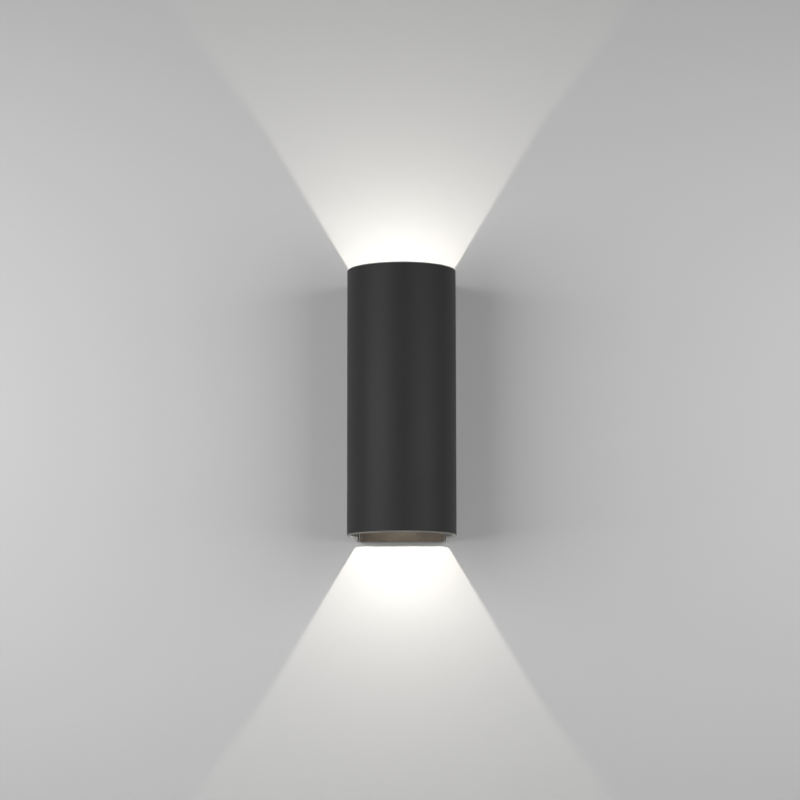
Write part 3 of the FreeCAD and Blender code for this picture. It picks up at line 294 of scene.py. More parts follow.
def new_tree(family, name, inputs, outputs):
    """A new tree with its sockets: gives the tree, its input sockets and its output node."""
    tree = bpy.data.node_groups.new(name, family + "NodeTree")
    for side, sockets in (("INPUT", inputs), ("OUTPUT", outputs)):
        for label, kind in sockets.items():
            tree.interface.new_socket(label, in_out=side, socket_type="NodeSocket" + kind)
    return tree, put(tree, "NodeGroupInput").outputs, put(tree, "NodeGroupOutput")


def grain_effect(tree, given):
    """Fused powder: rounded grains with a finer grain over them, and a mask of specks for painted glints.
    """
    place = object_place(tree)
    soft = noise(place, given["Scale"], 2.0, 0.55)
    fine = noise(place, times(given["Scale"], 2.3), 1.0, 0.5)
    lumps = cells(place, given["Scale"], "SMOOTH_F1")["Distance"]
    height = minus(plus(times(soft, 0.6), times(fine, 0.4)), times(lumps, 0.35))
    return {"Height": height, "Painted glint": ramp(fine, 0.62, 0.74)}


def mottle_effect(tree, given):
    """Slow change over the surface, about 1."""
    slow = noise(object_place(tree), given["Scale"], 3.0, 0.6)
    return {"Factor": ramp(slow, 0.25, 0.75, minus(1.0, given["Amount"]), plus(1.0, given["Amount"]))}


def wear_effect(tree, given):
    """Edges, found where the rounded normal leaves the surface's own, broken up by noise."""
    rounded = put(tree, "ShaderNodeBevel", {"Radius": given["Radius"]}, samples=6).outputs[0]
    own = put(tree, "ShaderNodeNewGeometry").outputs["Normal"]
    dot = put(tree, "ShaderNodeVectorMath", {0: rounded, 1: own}, operation="DOT_PRODUCT")
    edge = minus(1.0, dot.outputs["Value"])
    rubbed = noise(object_place(tree), 420.0, 2.0, 0.6)
    return {"Mask": times(ramp(edge, 0.02, 0.22), ramp(rubbed, 0.3, 0.65), clamp=True)}


def dust_effect(tree, given):
    """Fine dust on what faces up."""
    up = split(put(tree, "ShaderNodeNewGeometry").outputs["Normal"])["Z"]
    spread = noise(object_place(tree), 260.0, 3.0, 0.7)
    settled = times(ramp(up, 0.3, 1.0), ramp(spread, 0.35, 0.75))
    return {"Mask": times(settled, given["Amount"])}


def brushed_effect(tree, given):
    """Fine marks left by turning and forming, along one direction."""
    return {"Marks": noise(object_place(tree, stretch=(1.0, 1.0, 0.06)), given["Scale"], 3.0, 0.65)}


def spangle_effect(tree, given):
    """Zinc flowers: flat cells, each of its own grey."""
    flowers = cells(object_place(tree), given["Scale"])["Color"]
    return {"Shade": put(tree, "ShaderNodeSeparateColor", {"Color": flowers}).outputs["Red"]}


# What each shared effect is made by, its inputs and its outputs.
EFFECTS = {
    "Powder grain": (grain_effect, ["Scale"], ["Height", "Painted glint"]),
    "Mottle": (mottle_effect, ["Scale", "Amount"], ["Factor"]),
    "Edge wear": (wear_effect, ["Radius"], ["Mask"]),
    "Dust": (dust_effect, ["Amount"], ["Mask"]),
    "Brushed marks": (brushed_effect, ["Scale"], ["Marks"]),
    "Zinc flowers": (spangle_effect, ["Scale"], ["Shade"]),
}


@functools.cache
def effect_group(name):
    """The node group of a shared effect, built once."""
    fill, inputs, outputs = EFFECTS[name]
    tree, given, leave = new_tree("Shader", name, dict.fromkeys(inputs, "Float"),
                                  dict.fromkeys(outputs, "Float"))
    feed(leave, fill(tree, given))
    return tree


def effect(tree, name, **values):
    """A shared effect placed in a material, with its own values."""
    inputs = {label.capitalize(): given for label, given in values.items()}
    return put(tree, "ShaderNodeGroup", inputs, node_tree=effect_group(name)).outputs


# ---- finishes ----

def new_material(name):
    """A material with its tree and its Principled shader."""
    material = bpy.data.materials.new(name)
    material.use_nodes = True
    tree = material.node_tree
    tree.nodes.clear()
    shader = put(tree, "ShaderNodeBsdfPrincipled")
    put(tree, "ShaderNodeOutputMaterial", {"Surface": shader.outputs[0]})
    return material, tree, shader


def paint(shader, colour, roughness, height, depth):
    """Give a shader its colour and roughness, and a bump of the given depth in millimetres."""
    bump = put(height.id_data, "ShaderNodeBump",
               {"Height": height, "Distance": depth * MM, "Strength": 1.0})
    feed(shader, {"Base Color": colour, "Roughness": roughness, "Normal": bump.outputs[0]})


def let_through(tree, shader, factor, colour=(1, 1, 1)):
    """Let light go straight through the surface where factor is 1."""
    clear = put(tree, "ShaderNodeBsdfTransparent", {"Color": colour})
    either = put(tree, "ShaderNodeMixShader", {0: factor, 1: shader.outputs[0], 2: clear.outputs[0]})
    feed(tree.nodes["Material Output"], {"Surface": either.outputs[0]})


def finish(name, colour, roughness, metallic=0.0, grain=2500.0, depth=0.02, mottle=(25.0, 0.08),
           worn=None, wear_radius=0.4 * MM, dust=0.0, speck=0.0, marks=0.0, cut_end_and_highlight=None, own=None):
    """A finish with grain, slow mottling, rubbed edges and dust, each with its own values.

    mottle is its scale and its amount, and own has values for the shader's own sockets.
    """
    material, tree, shader = new_material(name)
    grains = effect(tree, "Powder grain", scale=grain)
    slow = effect(tree, "Mottle", scale=mottle[0], amount=mottle[1])["Factor"]
    shade = shaded(colour, slow)
    rough = times(slow, roughness)
    # Painted glints: specks of the grain get a lighter colour that stands for light glinting off the
    # powder, and a lower roughness.
    if speck:
        glint_share = times(grains["Painted glint"], speck)
        shade = mix_colour(glint_share, shade, [min(1.0, 3.2 * part + 0.02) for part in colour])
        rough = minus(rough, times(glint_share, 0.2))
    if worn is not None:
        mask = effect(tree, "Edge wear", radius=wear_radius)["Mask"]
        shade = mix_colour(mask, shade, worn)
        rough = minus(rough, times(mask, 0.1))
    # The cut ends are painted paler: partly a thin coat, partly a painted highlight on the rims and the
    # lips' tips.
    if cut_end_and_highlight is not None:
        pale_from, pale_fully = HALF_HEIGHT - 1.15 * MM, HALF_HEIGHT - 0.85 * MM
        mask = ramp(maths("ABSOLUTE", split(object_place(tree))["Z"]), pale_from, pale_fully)
        shade = mix_colour(mask, shade, cut_end_and_highlight)
        rough = minus(rough, times(mask, 0.18))
    if dust:
        settled = effect(tree, "Dust", amount=dust)["Mask"]
        shade = mix_colour(settled, shade, (0.42, 0.40, 0.37))
        rough = plus(rough, times(settled, 0.4), clamp=True)
    height = grains["Height"]
    if marks:
        lines = effect(tree, "Brushed marks", scale=marks)["Marks"]
        height = plus(times(height, 0.3), lines)
        rough = plus(rough, ramp(lines, 0.3, 0.7, -0.06, 0.06))
    paint(shader, shade, rough, height, depth)
    feed(shader, {"Metallic": metallic, **(own or {})})
    return material


def foam_finish():
    """Closed-cell foam: small round pores of two sizes, with painted shade in them."""
    material, tree, shader = new_material("foam")
    large = cells(object_place(tree), 700.0)["Distance"]
    small = cells(object_place(tree), 1900.0)["Distance"]
    pores = maths("MINIMUM", ramp(large, 0.1, 0.45), ramp(small, 0.1, 0.5))
    # The pores get a darker colour: painted shade in their hollows.
    shade = mix_colour(pores, (0.018, 0.018, 0.019), (0.06, 0.06, 0.062))
    paint(shader, shade, ramp(pores, 0.0, 1.0, 0.95, 0.8), pores, 0.25)
    return material


def galvanised_finish():
    """Galvanised sheet with zinc flowers and faint rolling marks."""
    material, tree, shader = new_material("galvanised")
    shade = effect(tree, "Zinc flowers", scale=140.0)["Shade"]
    marks = effect(tree, "Brushed marks", scale=1800.0)["Marks"]
    colour = mix_colour(shade, (0.50, 0.52, 0.53), (0.66, 0.68, 0.70))
    paint(shader, colour, ramp(shade, 0.0, 1.0, 0.34, 0.5), marks, 0.01)
    feed(shader, {"Metallic": 1.0})
    return material


def two_colour_insulation(name, left, right):
    """Insulation whose colour depends on which of the two wires it is on."""
    material, tree, shader = new_material(name)
    side = maths("GREATER_THAN", split(object_place(tree))["X"], 0.0)
    slow = effect(tree, "Mottle", scale=90.0, amount=0.12)["Factor"]
    grains = effect(tree, "Powder grain", scale=3000.0)["Height"]
    paint(shader, mix_colour(side, left, right), times(slow, 0.38), grains, 0.01)
    return material


def board_finish():
    """White solder mask with copper rings round the screws, two copper pads and a dark edge line."""
    material, tree, shader = new_material("board_white")
    screw_x, ring_radius = 13.5 * MM, 3.4 * MM
    pad_x, pad_half_width = 4.2 * MM, 1.3 * MM
    pad_y, pad_half_height = -9.3 * MM, 0.9 * MM
    line_radius, line_half_width = 17.0 * MM, 0.12 * MM

    place = split(object_place(tree, shift=(0, -AXIS_Y, 0)))
    across = maths("ABSOLUTE", place["X"])
    along = place["Y"]
    ring = near(distance(minus(across, screw_x), along), 0.0, ring_radius)
    pad = times(near(across, pad_x, pad_half_width), near(along, pad_y, pad_half_height))
    bare = maths("MAXIMUM", ring, pad)
    line = near(distance(across, along), line_radius, line_half_width)
    white = shaded((0.80, 0.81, 0.79), effect(tree, "Mottle", scale=120.0, amount=0.03)["Factor"])
    shade = mix_colour(bare, mix_colour(line, white, (0.25, 0.25, 0.25)), (0.75, 0.60, 0.40))
    grains = effect(tree, "Powder grain", scale=4000.0)["Height"]
    paint(shader, shade, minus(0.38, times(bare, 0.1)), minus(times(grains, 0.15), bare), 0.03)
    feed(shader, {"Metallic": bare})
    return material


def phosphor_finish(glow):
    """The lit field: yellow phosphor over small dies, paler over the middle of each."""
    material, tree, shader = new_material("phosphor")
    dies = cells(object_place(tree, shift=(0, -AXIS_Y, 0)), 900.0)["Distance"]
    shade = mix_colour(ramp(dies, 0.0, 0.6), (0.98, 0.84, 0.36), (0.95, 0.70, 0.20))
    warm = mix_colour(ramp(dies, 0.0, 0.7), (1.0, 0.95, 0.84), (1.0, 0.84, 0.62))
    paint(shader, shade, 0.35, effect(tree, "Powder grain", scale=2500.0)["Height"], 0.03)
    feed(shader, {"Emission Color": warm, "Emission Strength": glow})
    return material


def glass_finish():
    """Clear glass that lets the lamp's own light through, with faint smears in its polish."""
    material, tree, shader = new_material("clear_glass")
    smear = noise(object_place(tree, stretch=(1.0, 0.35, 1.0)), 90.0, 3.0, 0.65)
    paint(shader, (0.97, 0.99, 0.98), ramp(smear, 0.4, 0.8, 0.0, 0.09), smear, 0.004)
    feed(shader, {"Transmission Weight": 1.0, "IOR": 1.46})
    shadow = put(tree, "ShaderNodeLightPath").outputs["Is Shadow Ray"]
    let_through(tree, shader, shadow, (0.95, 0.97, 0.96))
    return material


def silicone_finish():
    """Milky silicone of the glass seals."""
    material, tree, shader = new_material("silicone")
    slow = effect(tree, "Mottle", scale=150.0, amount=0.08)["Factor"]
    shade = mix_colour(ramp(slow, 0.92, 1.08), (0.62, 0.63, 0.63), (0.74, 0.75, 0.75))
    grains = effect(tree, "Powder grain", scale=2200.0)["Height"]
    paint(shader, shade, times(slow, 0.42), grains, 0.02)
    return material


def wall_paint(colour):
    """Smooth matte paint, seen from its front only."""
    material, tree, shader = new_material("plain_wall")
    shade = shaded(colour, effect(tree, "Mottle", scale=3.0, amount=0.006)["Factor"])
    paint(shader, shade, 0.85, noise(object_place(tree), 700.0, 2.0, 0.5), 0.03)
    feed(shader, {"Specular IOR Level": 0.15})
    let_through(tree, shader, put(tree, "ShaderNodeNewGeometry").outputs["Backfacing"])
    return material


@functools.cache
def textured_black():
    """The tube's powder coat, paler on its cut ends: partly a thin coat there, partly a painted highlight
    for the light that the rims catch.
    """
    coat = bpy.context.scene.tube_coat
    return finish("textured_black", coat.colour, coat.roughness, grain=coat.grains, depth=0.06,
                  mottle=(9.0, 0.05), worn=coat.bare, wear_radius=0.6 * MM, dust=0.05, speck=0.5,
                  cut_end_and_highlight=coat.cut_end_and_highlight, own={"Specular IOR Level": coat.gloss})


def bracket_black():
    """The bracket's coat, coarser, warmer and glossier than the tube's."""
    coat = bpy.context.scene.tube_coat
    return finish("bracket_black", coat.bracket_colour, coat.bracket_roughness, grain=1000.0,
                  depth=0.07, mottle=(60.0, 0.12), worn=coat.bare, wear_radius=0.6 * MM, speck=0.8,
                  own={"Specular IOR Level": 1.0, "Specular Tint": (1.0, 0.9, 0.8), "IOR": 1.75})


@functools.cache
def stainless():
    return finish("stainless", (0.56, 0.55, 0.54), 0.27, 1.0, 1500.0, 0.012, (60.0, 0.14),
                  (0.72, 0.71, 0.70), marks=2500.0)


@functools.cache
def black_steel():
    return finish("black_steel", (0.03, 0.03, 0.032), 0.42, 0.4, 2600.0, 0.012, (60.0, 0.1),
                  (0.20, 0.19, 0.18), speck=0.2)


class OBJECT_OT_wall_light_finishes(bpy.types.Operator):
    """Give every CAD piece that stays its finish"""
    bl_idname = "wall_light.finishes"
    bl_label = "Finish the pieces"

    def execute(self, context):
        made = [
            foam_finish(), silicone_finish(), glass_finish(), board_finish(), galvanised_finish(),
            two_colour_insulation("wire_insulation", (0.02, 0.02, 0.02), (0.50, 0.03, 0.02)),
            two_colour_insulation("supply_insulation", (0.02, 0.06, 0.30), (0.20, 0.08, 0.03)),
            finish("cast_black", (0.026, 0.026, 0.027), 0.55, grain=1300.0, depth=0.08,
                   mottle=(30.0, 0.08), worn=(0.11, 0.11, 0.11), dust=0.08, speck=0.3),
            finish("black_rubber", (0.018, 0.018, 0.018), 0.68, grain=2600.0, depth=0.02,
                   mottle=(60.0, 0.08), dust=0.12),
            finish("brass", (0.68, 0.50, 0.22), 0.27, 1.0, 1800.0, 0.01, (70.0, 0.12),
                   (0.85, 0.70, 0.40), marks=2400.0),
            finish("cover_black", (0.03, 0.03, 0.031), 0.5, grain=1500.0, depth=0.06,
                   worn=(0.12, 0.12, 0.12), speck=0.3),
            finish("white_plastic", (0.80, 0.80, 0.77), 0.33, grain=2500.0, depth=0.01),
            finish("driver_case", (0.74, 0.74, 0.72), 0.5, grain=1100.0, depth=0.03,
                   mottle=(40.0, 0.03), dust=0.1),
            finish("block_plastic", (0.72, 0.72, 0.66), 0.4, grain=2200.0, depth=0.012,
                   mottle=(60.0, 0.04)),
            finish("gland_plastic", (0.032, 0.032, 0.033), 0.48, grain=2200.0, depth=0.012,
                   worn=(0.09, 0.09, 0.09))]
        own = {"wall_bracket": bracket_black(),
               "terminal_screws": finish("clamp_brass", (0.70, 0.56, 0.30), 0.3, 1.0, 1800.0, 0.012,
                                         (70.0, 0.1), marks=2400.0)}
        # A node comes with a flat material named after its slot. The finish of the same name takes
        # its place, and may have a number behind its name because the flat one has the name.
        by_slot = {one.name.partition(".")[0]: one for one in made}
        for node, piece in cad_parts.items():
            materials = piece.data.materials
            material = own.get(node) or by_slot.get(materials[0].name)
            if material:
                materials.clear()
                materials.append(material)
        return {"FINISHED"}


# ---- meshes ----

def mesh_of(name, shape):
    """The mesh of a bmesh, which is then freed."""
    mesh = bpy.data.meshes.new(name)
    shape.to_mesh(mesh)
    shape.free()
    return mesh


def turned_mesh(name, rings, segments=48):
    """Rings round +Z joined into one closed skin.

    A ring is its radius and its height, and HEXAGON where it is a hexagon with that corner radius.
    """
    shape = bmesh.new()
    made = []
    for radius, height, *form in rings:
        ring = []
        for i in range(segments if radius else 1):
            angle = 2 * math.pi * i / segments
            reach = radius
            if HEXAGON in form:
                within = math.fmod(angle, math.pi / 3) - math.pi / 6
                reach = radius * math.cos(math.pi / 6) / math.cos(within)
            ring.append(shape.verts.new((reach * math.cos(angle), reach * math.sin(angle), height)))
        made.append(ring)
    for lower, upper in zip(made, made[1:]):
        for i in range(segments):
            j = (i + 1) % segments
            if len(lower) == 1:
                shape.faces.new((lower[0], upper[i], upper[j]))
            elif len(upper) == 1:
                shape.faces.new((lower[i], lower[j], upper[0]))
            else:
                shape.faces.new((lower[i], lower[j], upper[j], upper[i]))
    bmesh.ops.recalc_face_normals(shape, faces=shape.faces)
    return mesh_of(name, shape)


def join(name, meshes):
    """One mesh from several, given with their materials."""
    shape = bmesh.new()
    materials = []
    for mesh, material in meshes:
        before = len(shape.faces)
        shape.from_mesh(mesh)
        if material not in materials:
            materials.append(material)
        shape.faces.ensure_lookup_table()
        for face in shape.faces[before:]:
            face.material_index = materials.index(material)
    joined = mesh_of(name, shape)
    for material in materials:
        joined.materials.append(material)
    return joined


def plain_object(name, mesh, material=None):
    made = bpy.data.objects.new(name, mesh)
    bpy.context.scene.collection.objects.link(made)
    if material is not None:
        mesh.materials.append(material)
    return made


def stand_in(name, mesh, node, crease=35.0):
    """A finished piece of the lamp head that stands for a CAD node. crease is in degrees."""
    mesh.polygons.foreach_set("use_smooth", [True] * len(mesh.polygons))
    mesh.set_sharp_from_angle(angle=math.radians(crease))
    made = plain_object(name, mesh)
    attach(made, LAMP_HEAD)
    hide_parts(node)


# ---- Geometry Nodes ----

def end_tree(tree, geometry, material, leave):
    """End a tree in real geometry with its material."""
    real = put(tree, "GeometryNodeRealizeInstances", {"Geometry": geometry})
    done = put(tree, "GeometryNodeSetMaterial", {"Geometry": real.outputs[0], "Material": material})
    tree.links.new(done.outputs[0], leave.inputs[0])


def way_of_points(tree):
    """The way that each point faces, which place_mesh keeps."""
    return put(tree, "GeometryNodeInputNamedAttribute", {"Name": "way"},
               data_type="FLOAT_VECTOR").outputs["Attribute"]


def place_mesh(name, places, lines=()):
    """Points from (point, way) pairs, with each one's way in the attribute way."""
    mesh = bpy.data.meshes.new(name)
    mesh.from_pydata([point for point, way in places], lines, [])
    ways = mesh.attributes.new("way", "FLOAT_VECTOR", "POINT")
    ways.data.foreach_set("vector", [number for point, way in places for number in way])
    return mesh


def mesh_from_tree(name, source, tree, inputs):
    """The plain mesh that a tree makes from a source mesh. Inputs are set by their identifiers."""
    carrier = plain_object(name + "_places", source)
    modifier = carrier.modifiers.new(name, "NODES")
    modifier.node_group = tree
    for label, given in inputs.items():
        identifier, = [item.identifier for item in tree.interface.items_tree
                       if item.in_out == "INPUT" and item.name == label]
        modifier[identifier] = given
    bpy.context.view_layer.update()
    graph = bpy.context.evaluated_depsgraph_get()
    result = bpy.data.meshes.new_from_object(carrier.evaluated_get(graph), depsgraph=graph)
    carrier.modifiers.remove(modifier)
    bpy.data.objects.remove(carrier)
    if "way" in result.attributes:
        result.attributes.remove(result.attributes["way"])
    result.name = name
    return result


# ---- screws ----

def screw_mesh(name, head_radius, head_height, shank_radius, length, socket_radius, socket_depth,
               flat=False):
    """A socket screw whose seat is at 0: a domed head above it, or a flat countersunk one below."""
    rings = [(0, -length), (0.72 * shank_radius, -length), (shank_radius, -length + 0.35 * shank_radius)]
    if flat:
        cone, edge, top = head_radius - shank_radius, 0.08 * MM, 0
        rings += [(shank_radius, -head_height - cone), (shank_radius, -cone),
                  (head_radius, -edge), (head_radius - edge, 0)]
    else:
        ease, top = 0.12 * head_radius, head_height
        rings += [(shank_radius, 0), (head_radius - 0.3 * ease, 0), (head_radius, 0.3 * ease)]
        for degrees in range(0, 91, 15):
            turn = math.radians(degrees)
            rings.append((head_radius - 2.2 * ease * (1 - math.cos(turn)),
                          top - 1.6 * ease * (1 - math.sin(turn))))
    rings += [(socket_radius + 0.18 * MM, top), (socket_radius, top - 0.12 * MM, HEXAGON),
              (socket_radius, top - socket_depth, HEXAGON),
              (0, top - socket_depth - 0.3 * socket_radius)]
    return turned_mesh(name, rings)


def set_screw_mesh(length):
    """A headless screw whose outer end is at 0, with a hexagon socket."""
    radius, socket_radius, socket_depth = SET_SCREW_RADIUS, 1.1 * MM, 2 * MM
    return turned_mesh("set_screw", [
        (0, -length), (radius - 0.8 * MM, -length), (radius, -length + 0.5 * MM),
        (radius, -0.25 * MM), (radius - 0.25 * MM, 0), (socket_radius + 0.15 * MM, 0),
        (socket_radius, -0.12 * MM, HEXAGON), (socket_radius, -socket_depth, HEXAGON),
        (0, -socket_depth - 0.3 * MM)])


@functools.cache
def screws_tree():
    """One screw on each place, its axis along the place's way, turned at random."""
    tree, given, leave = new_tree("Geometry", "Screws on places", {
        "Places": "Geometry", "Screw": "Object", "Finish": "Material", "Turn seed": "Int"},
        {"Screws": "Geometry"})
    one = put(tree, "GeometryNodeObjectInfo", {"Object": given["Screw"]}, transform_space="ORIGINAL")
    facing = put(tree, "FunctionNodeAlignRotationToVector", {"Vector": way_of_points(tree)}, axis="Z")
    turn = put(tree, "FunctionNodeRandomValue", {"Seed": given["Turn seed"], 3: 2 * math.pi},
               data_type="FLOAT").outputs[1]
    about = put(tree, "FunctionNodeAxisAngleToRotation", {"Axis": (0, 0, 1), "Angle": turn})
    turned = put(tree, "FunctionNodeRotateRotation", {0: facing.outputs[0], 1: about.outputs[0]},
                 rotation_space="LOCAL")
    placed = put(tree, "GeometryNodeInstanceOnPoints",
                 {"Points": given["Places"], "Instance": one.outputs["Geometry"],
                  "Rotation": turned.outputs[0]})
    end_tree(tree, placed.outputs[0], given["Finish"], leave)
    return tree


def mesh_on_places(name, mesh, places, material):
    """One mesh with a copy of mesh at each place, given as (point, way)."""
    one = plain_object(name + "_one", mesh)
    result = mesh_from_tree(name, place_mesh(name + "_places", places), screws_tree(), {
        "Screw": one, "Finish": material, "Turn seed": bpy.context.scene.screw_sizes.turn_seed})
    bpy.data.objects.remove(one)
    return result


def corners(across, up):
    return [(i * across, j * up) for i in (-1, 1) for j in (-1, 1)]


def side_screw_places():
    """Where the countersunk screws sit, flush with the side walls, and which way they face."""
    low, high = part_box("bulkhead_screws")
    inset = SIDE_SCREW["head_radius"]
    return [((i * high.x, y, z), (i, 0, 0)) for i, z in corners(1, high.z - inset)
            for y in (low.y + inset, high.y - inset)]


def set_screw_places():
    low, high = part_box("grub_screws")
    y, up = (low.y + high.y) / 2, high.z - SET_SCREW_RADIUS
    return [((i * high.x, y, z), (i, 0, 0)) for i, z in corners(1, up)]


class OBJECT_OT_wall_light_screws(bpy.types.Operator):
    """Make all screws with Geometry Nodes"""
    bl_idname = "wall_light.screws"
    bl_label = "Make screws"

    def execute(self, context):
        sizes = context.scene.screw_sizes
        bezel_length, board_length = 14.5 * MM, 7 * MM

        def place(name, mesh, places, node, make=stainless):
            stand_in(name, mesh_on_places(name, mesh, places, make()), node)

        def round_head(name, length):
            return screw_mesh(name, sizes.head_radius, sizes.head_height, sizes.shank_radius, length,
                              sizes.socket_radius, sizes.socket_depth)

        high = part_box("bezel_screws")[1]
        seat, inner = high.z - sizes.head_height, high.x - sizes.head_radius
        place("bezel_ring_screws", round_head("bezel_screw", bezel_length),
              [((x, AXIS_Y + y, side * seat), (0, 0, side))
               for x, y in corners(inner, inner) for side in (-1, 1)], "bezel_screws")
        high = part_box("led_board_screws")[1]
        seat, inner = high.z - sizes.head_height, high.x - sizes.head_radius
        place("board_screws", round_head("board_screw", board_length),
              [((x, AXIS_Y, side * seat), (0, 0, side)) for x in (-inner, inner) for side in (-1, 1)],
              "led_board_screws")
        for name, node, way in (("tray_screws", "chassis_screws", -1), ("case_screws", "driver_screws", -1),
                                ("block_screws", "terminal_block_screws", 1),
                                ("cover_screws", "rear_cover_screws", 1)):
            low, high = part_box(node)
            seat = low.y + sizes.head_height if way < 0 else high.y - sizes.head_height
            x, z = high.x - sizes.head_radius, high.z - sizes.head_radius
            spots = {"case_screws": [(0, z), (0, -z)], "block_screws": [(x, 0), (-x, 0)]}
            place(name, round_head(name[:-1], high.y - low.y - sizes.head_height),
                  [((x, seat, z), (0, way, 0)) for x, z in spots.get(name, corners(x, z))], node)
        place("side_screws", screw_mesh("side_screw", flat=True, **SIDE_SCREW), side_screw_places(),
              "bulkhead_screws", black_steel)
        place("set_screws", set_screw_mesh(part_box("grub_screws")[1].x - SET_SCREW_TIP_X),
              set_screw_places(), "grub_screws", black_steel)
        return {"FINISHED"}


# ---- extruded tube ----

def arc(centre, radius, begin, end, step, sign=1):
    """Points on an arc with the way out of the metal at each: sign is -1 on a hollow side."""
    count = max(2, math.ceil(abs(end - begin) / step))
    made = []
    for k in range(count + 1):
        angle = begin + (end - begin) * k / count
        way = Vector((math.cos(angle), math.sin(angle), 0))
        made.append((Vector((*centre, 0)) + radius * way, sign * way))
    return made


def tube_section(sizes):
    """The tube's section as one closed line of (point, way out of the metal) pairs.

    The right half runs from the front round the outside, over the bead and back inside. Each flat
    side has a point near both of its ends, which holds it flat where the normals are smoothed.
    """
    def fillet_of(radius, half_width, fillet):
        """A fillet between the round wall and a side wall: its middle and where it starts."""
        across = half_width + fillet
        reach = radius + fillet
        middle_y = AXIS_Y + math.sqrt(reach * reach - across * across)
        return (across, middle_y), math.atan2(middle_y - AXIS_Y, across)

    step, hold = sizes.arc_step, 0.8 * MM
    axis, right = (0, AXIS_Y), Vector((1, 0, 0))
    bead = (sizes.neck_half_width - sizes.bead, TUBE_HIGH.y - sizes.bead)

    bend, turn = fillet_of(TUBE_RADIUS, sizes.neck_half_width, sizes.fillet)
    half = arc(axis, TUBE_RADIUS, -math.pi / 2, 0, step)
    half += arc(axis, TUBE_RADIUS, 0, turn, step)[1:]
    half += arc(bend, sizes.fillet, math.pi + turn, math.pi, 3 * step, -1)[1:]
    half += [(Vector((sizes.neck_half_width, y, 0)), right) for y in (bend[1] + hold, bead[1] - hold)]
    meeting = math.pi * 2 - math.acos((sizes.bead - sizes.neck_wall) / sizes.bead)
    half += arc(bead, sizes.bead, 0, math.pi / 2, 6 * step)
    half += arc(bead, sizes.bead, math.pi / 2, meeting, 6 * step)[1:]
    point, way = half.pop()
    half.append((point, (way - right).normalized()))

    inside = sizes.neck_half_width - sizes.neck_wall
    inner_radius, inner_fillet = TUBE_RADIUS - sizes.wall, sizes.fillet + sizes.neck_wall
    bend, turn = fillet_of(inner_radius, inside, inner_fillet)
    half += [(Vector((inside, y, 0)), -right) for y in (point.y - hold, bend[1] + hold)]
    half += arc(bend, inner_fillet, math.pi, math.pi + turn, 3 * step)
    half += arc(axis, inner_radius, turn, -math.pi / 2, step, -1)[1:]
    mirror = Matrix.Diagonal((-1, 1, 1))
    return half + [(mirror @ point, mirror @ way) for point, way in reversed(half[1:-1])]


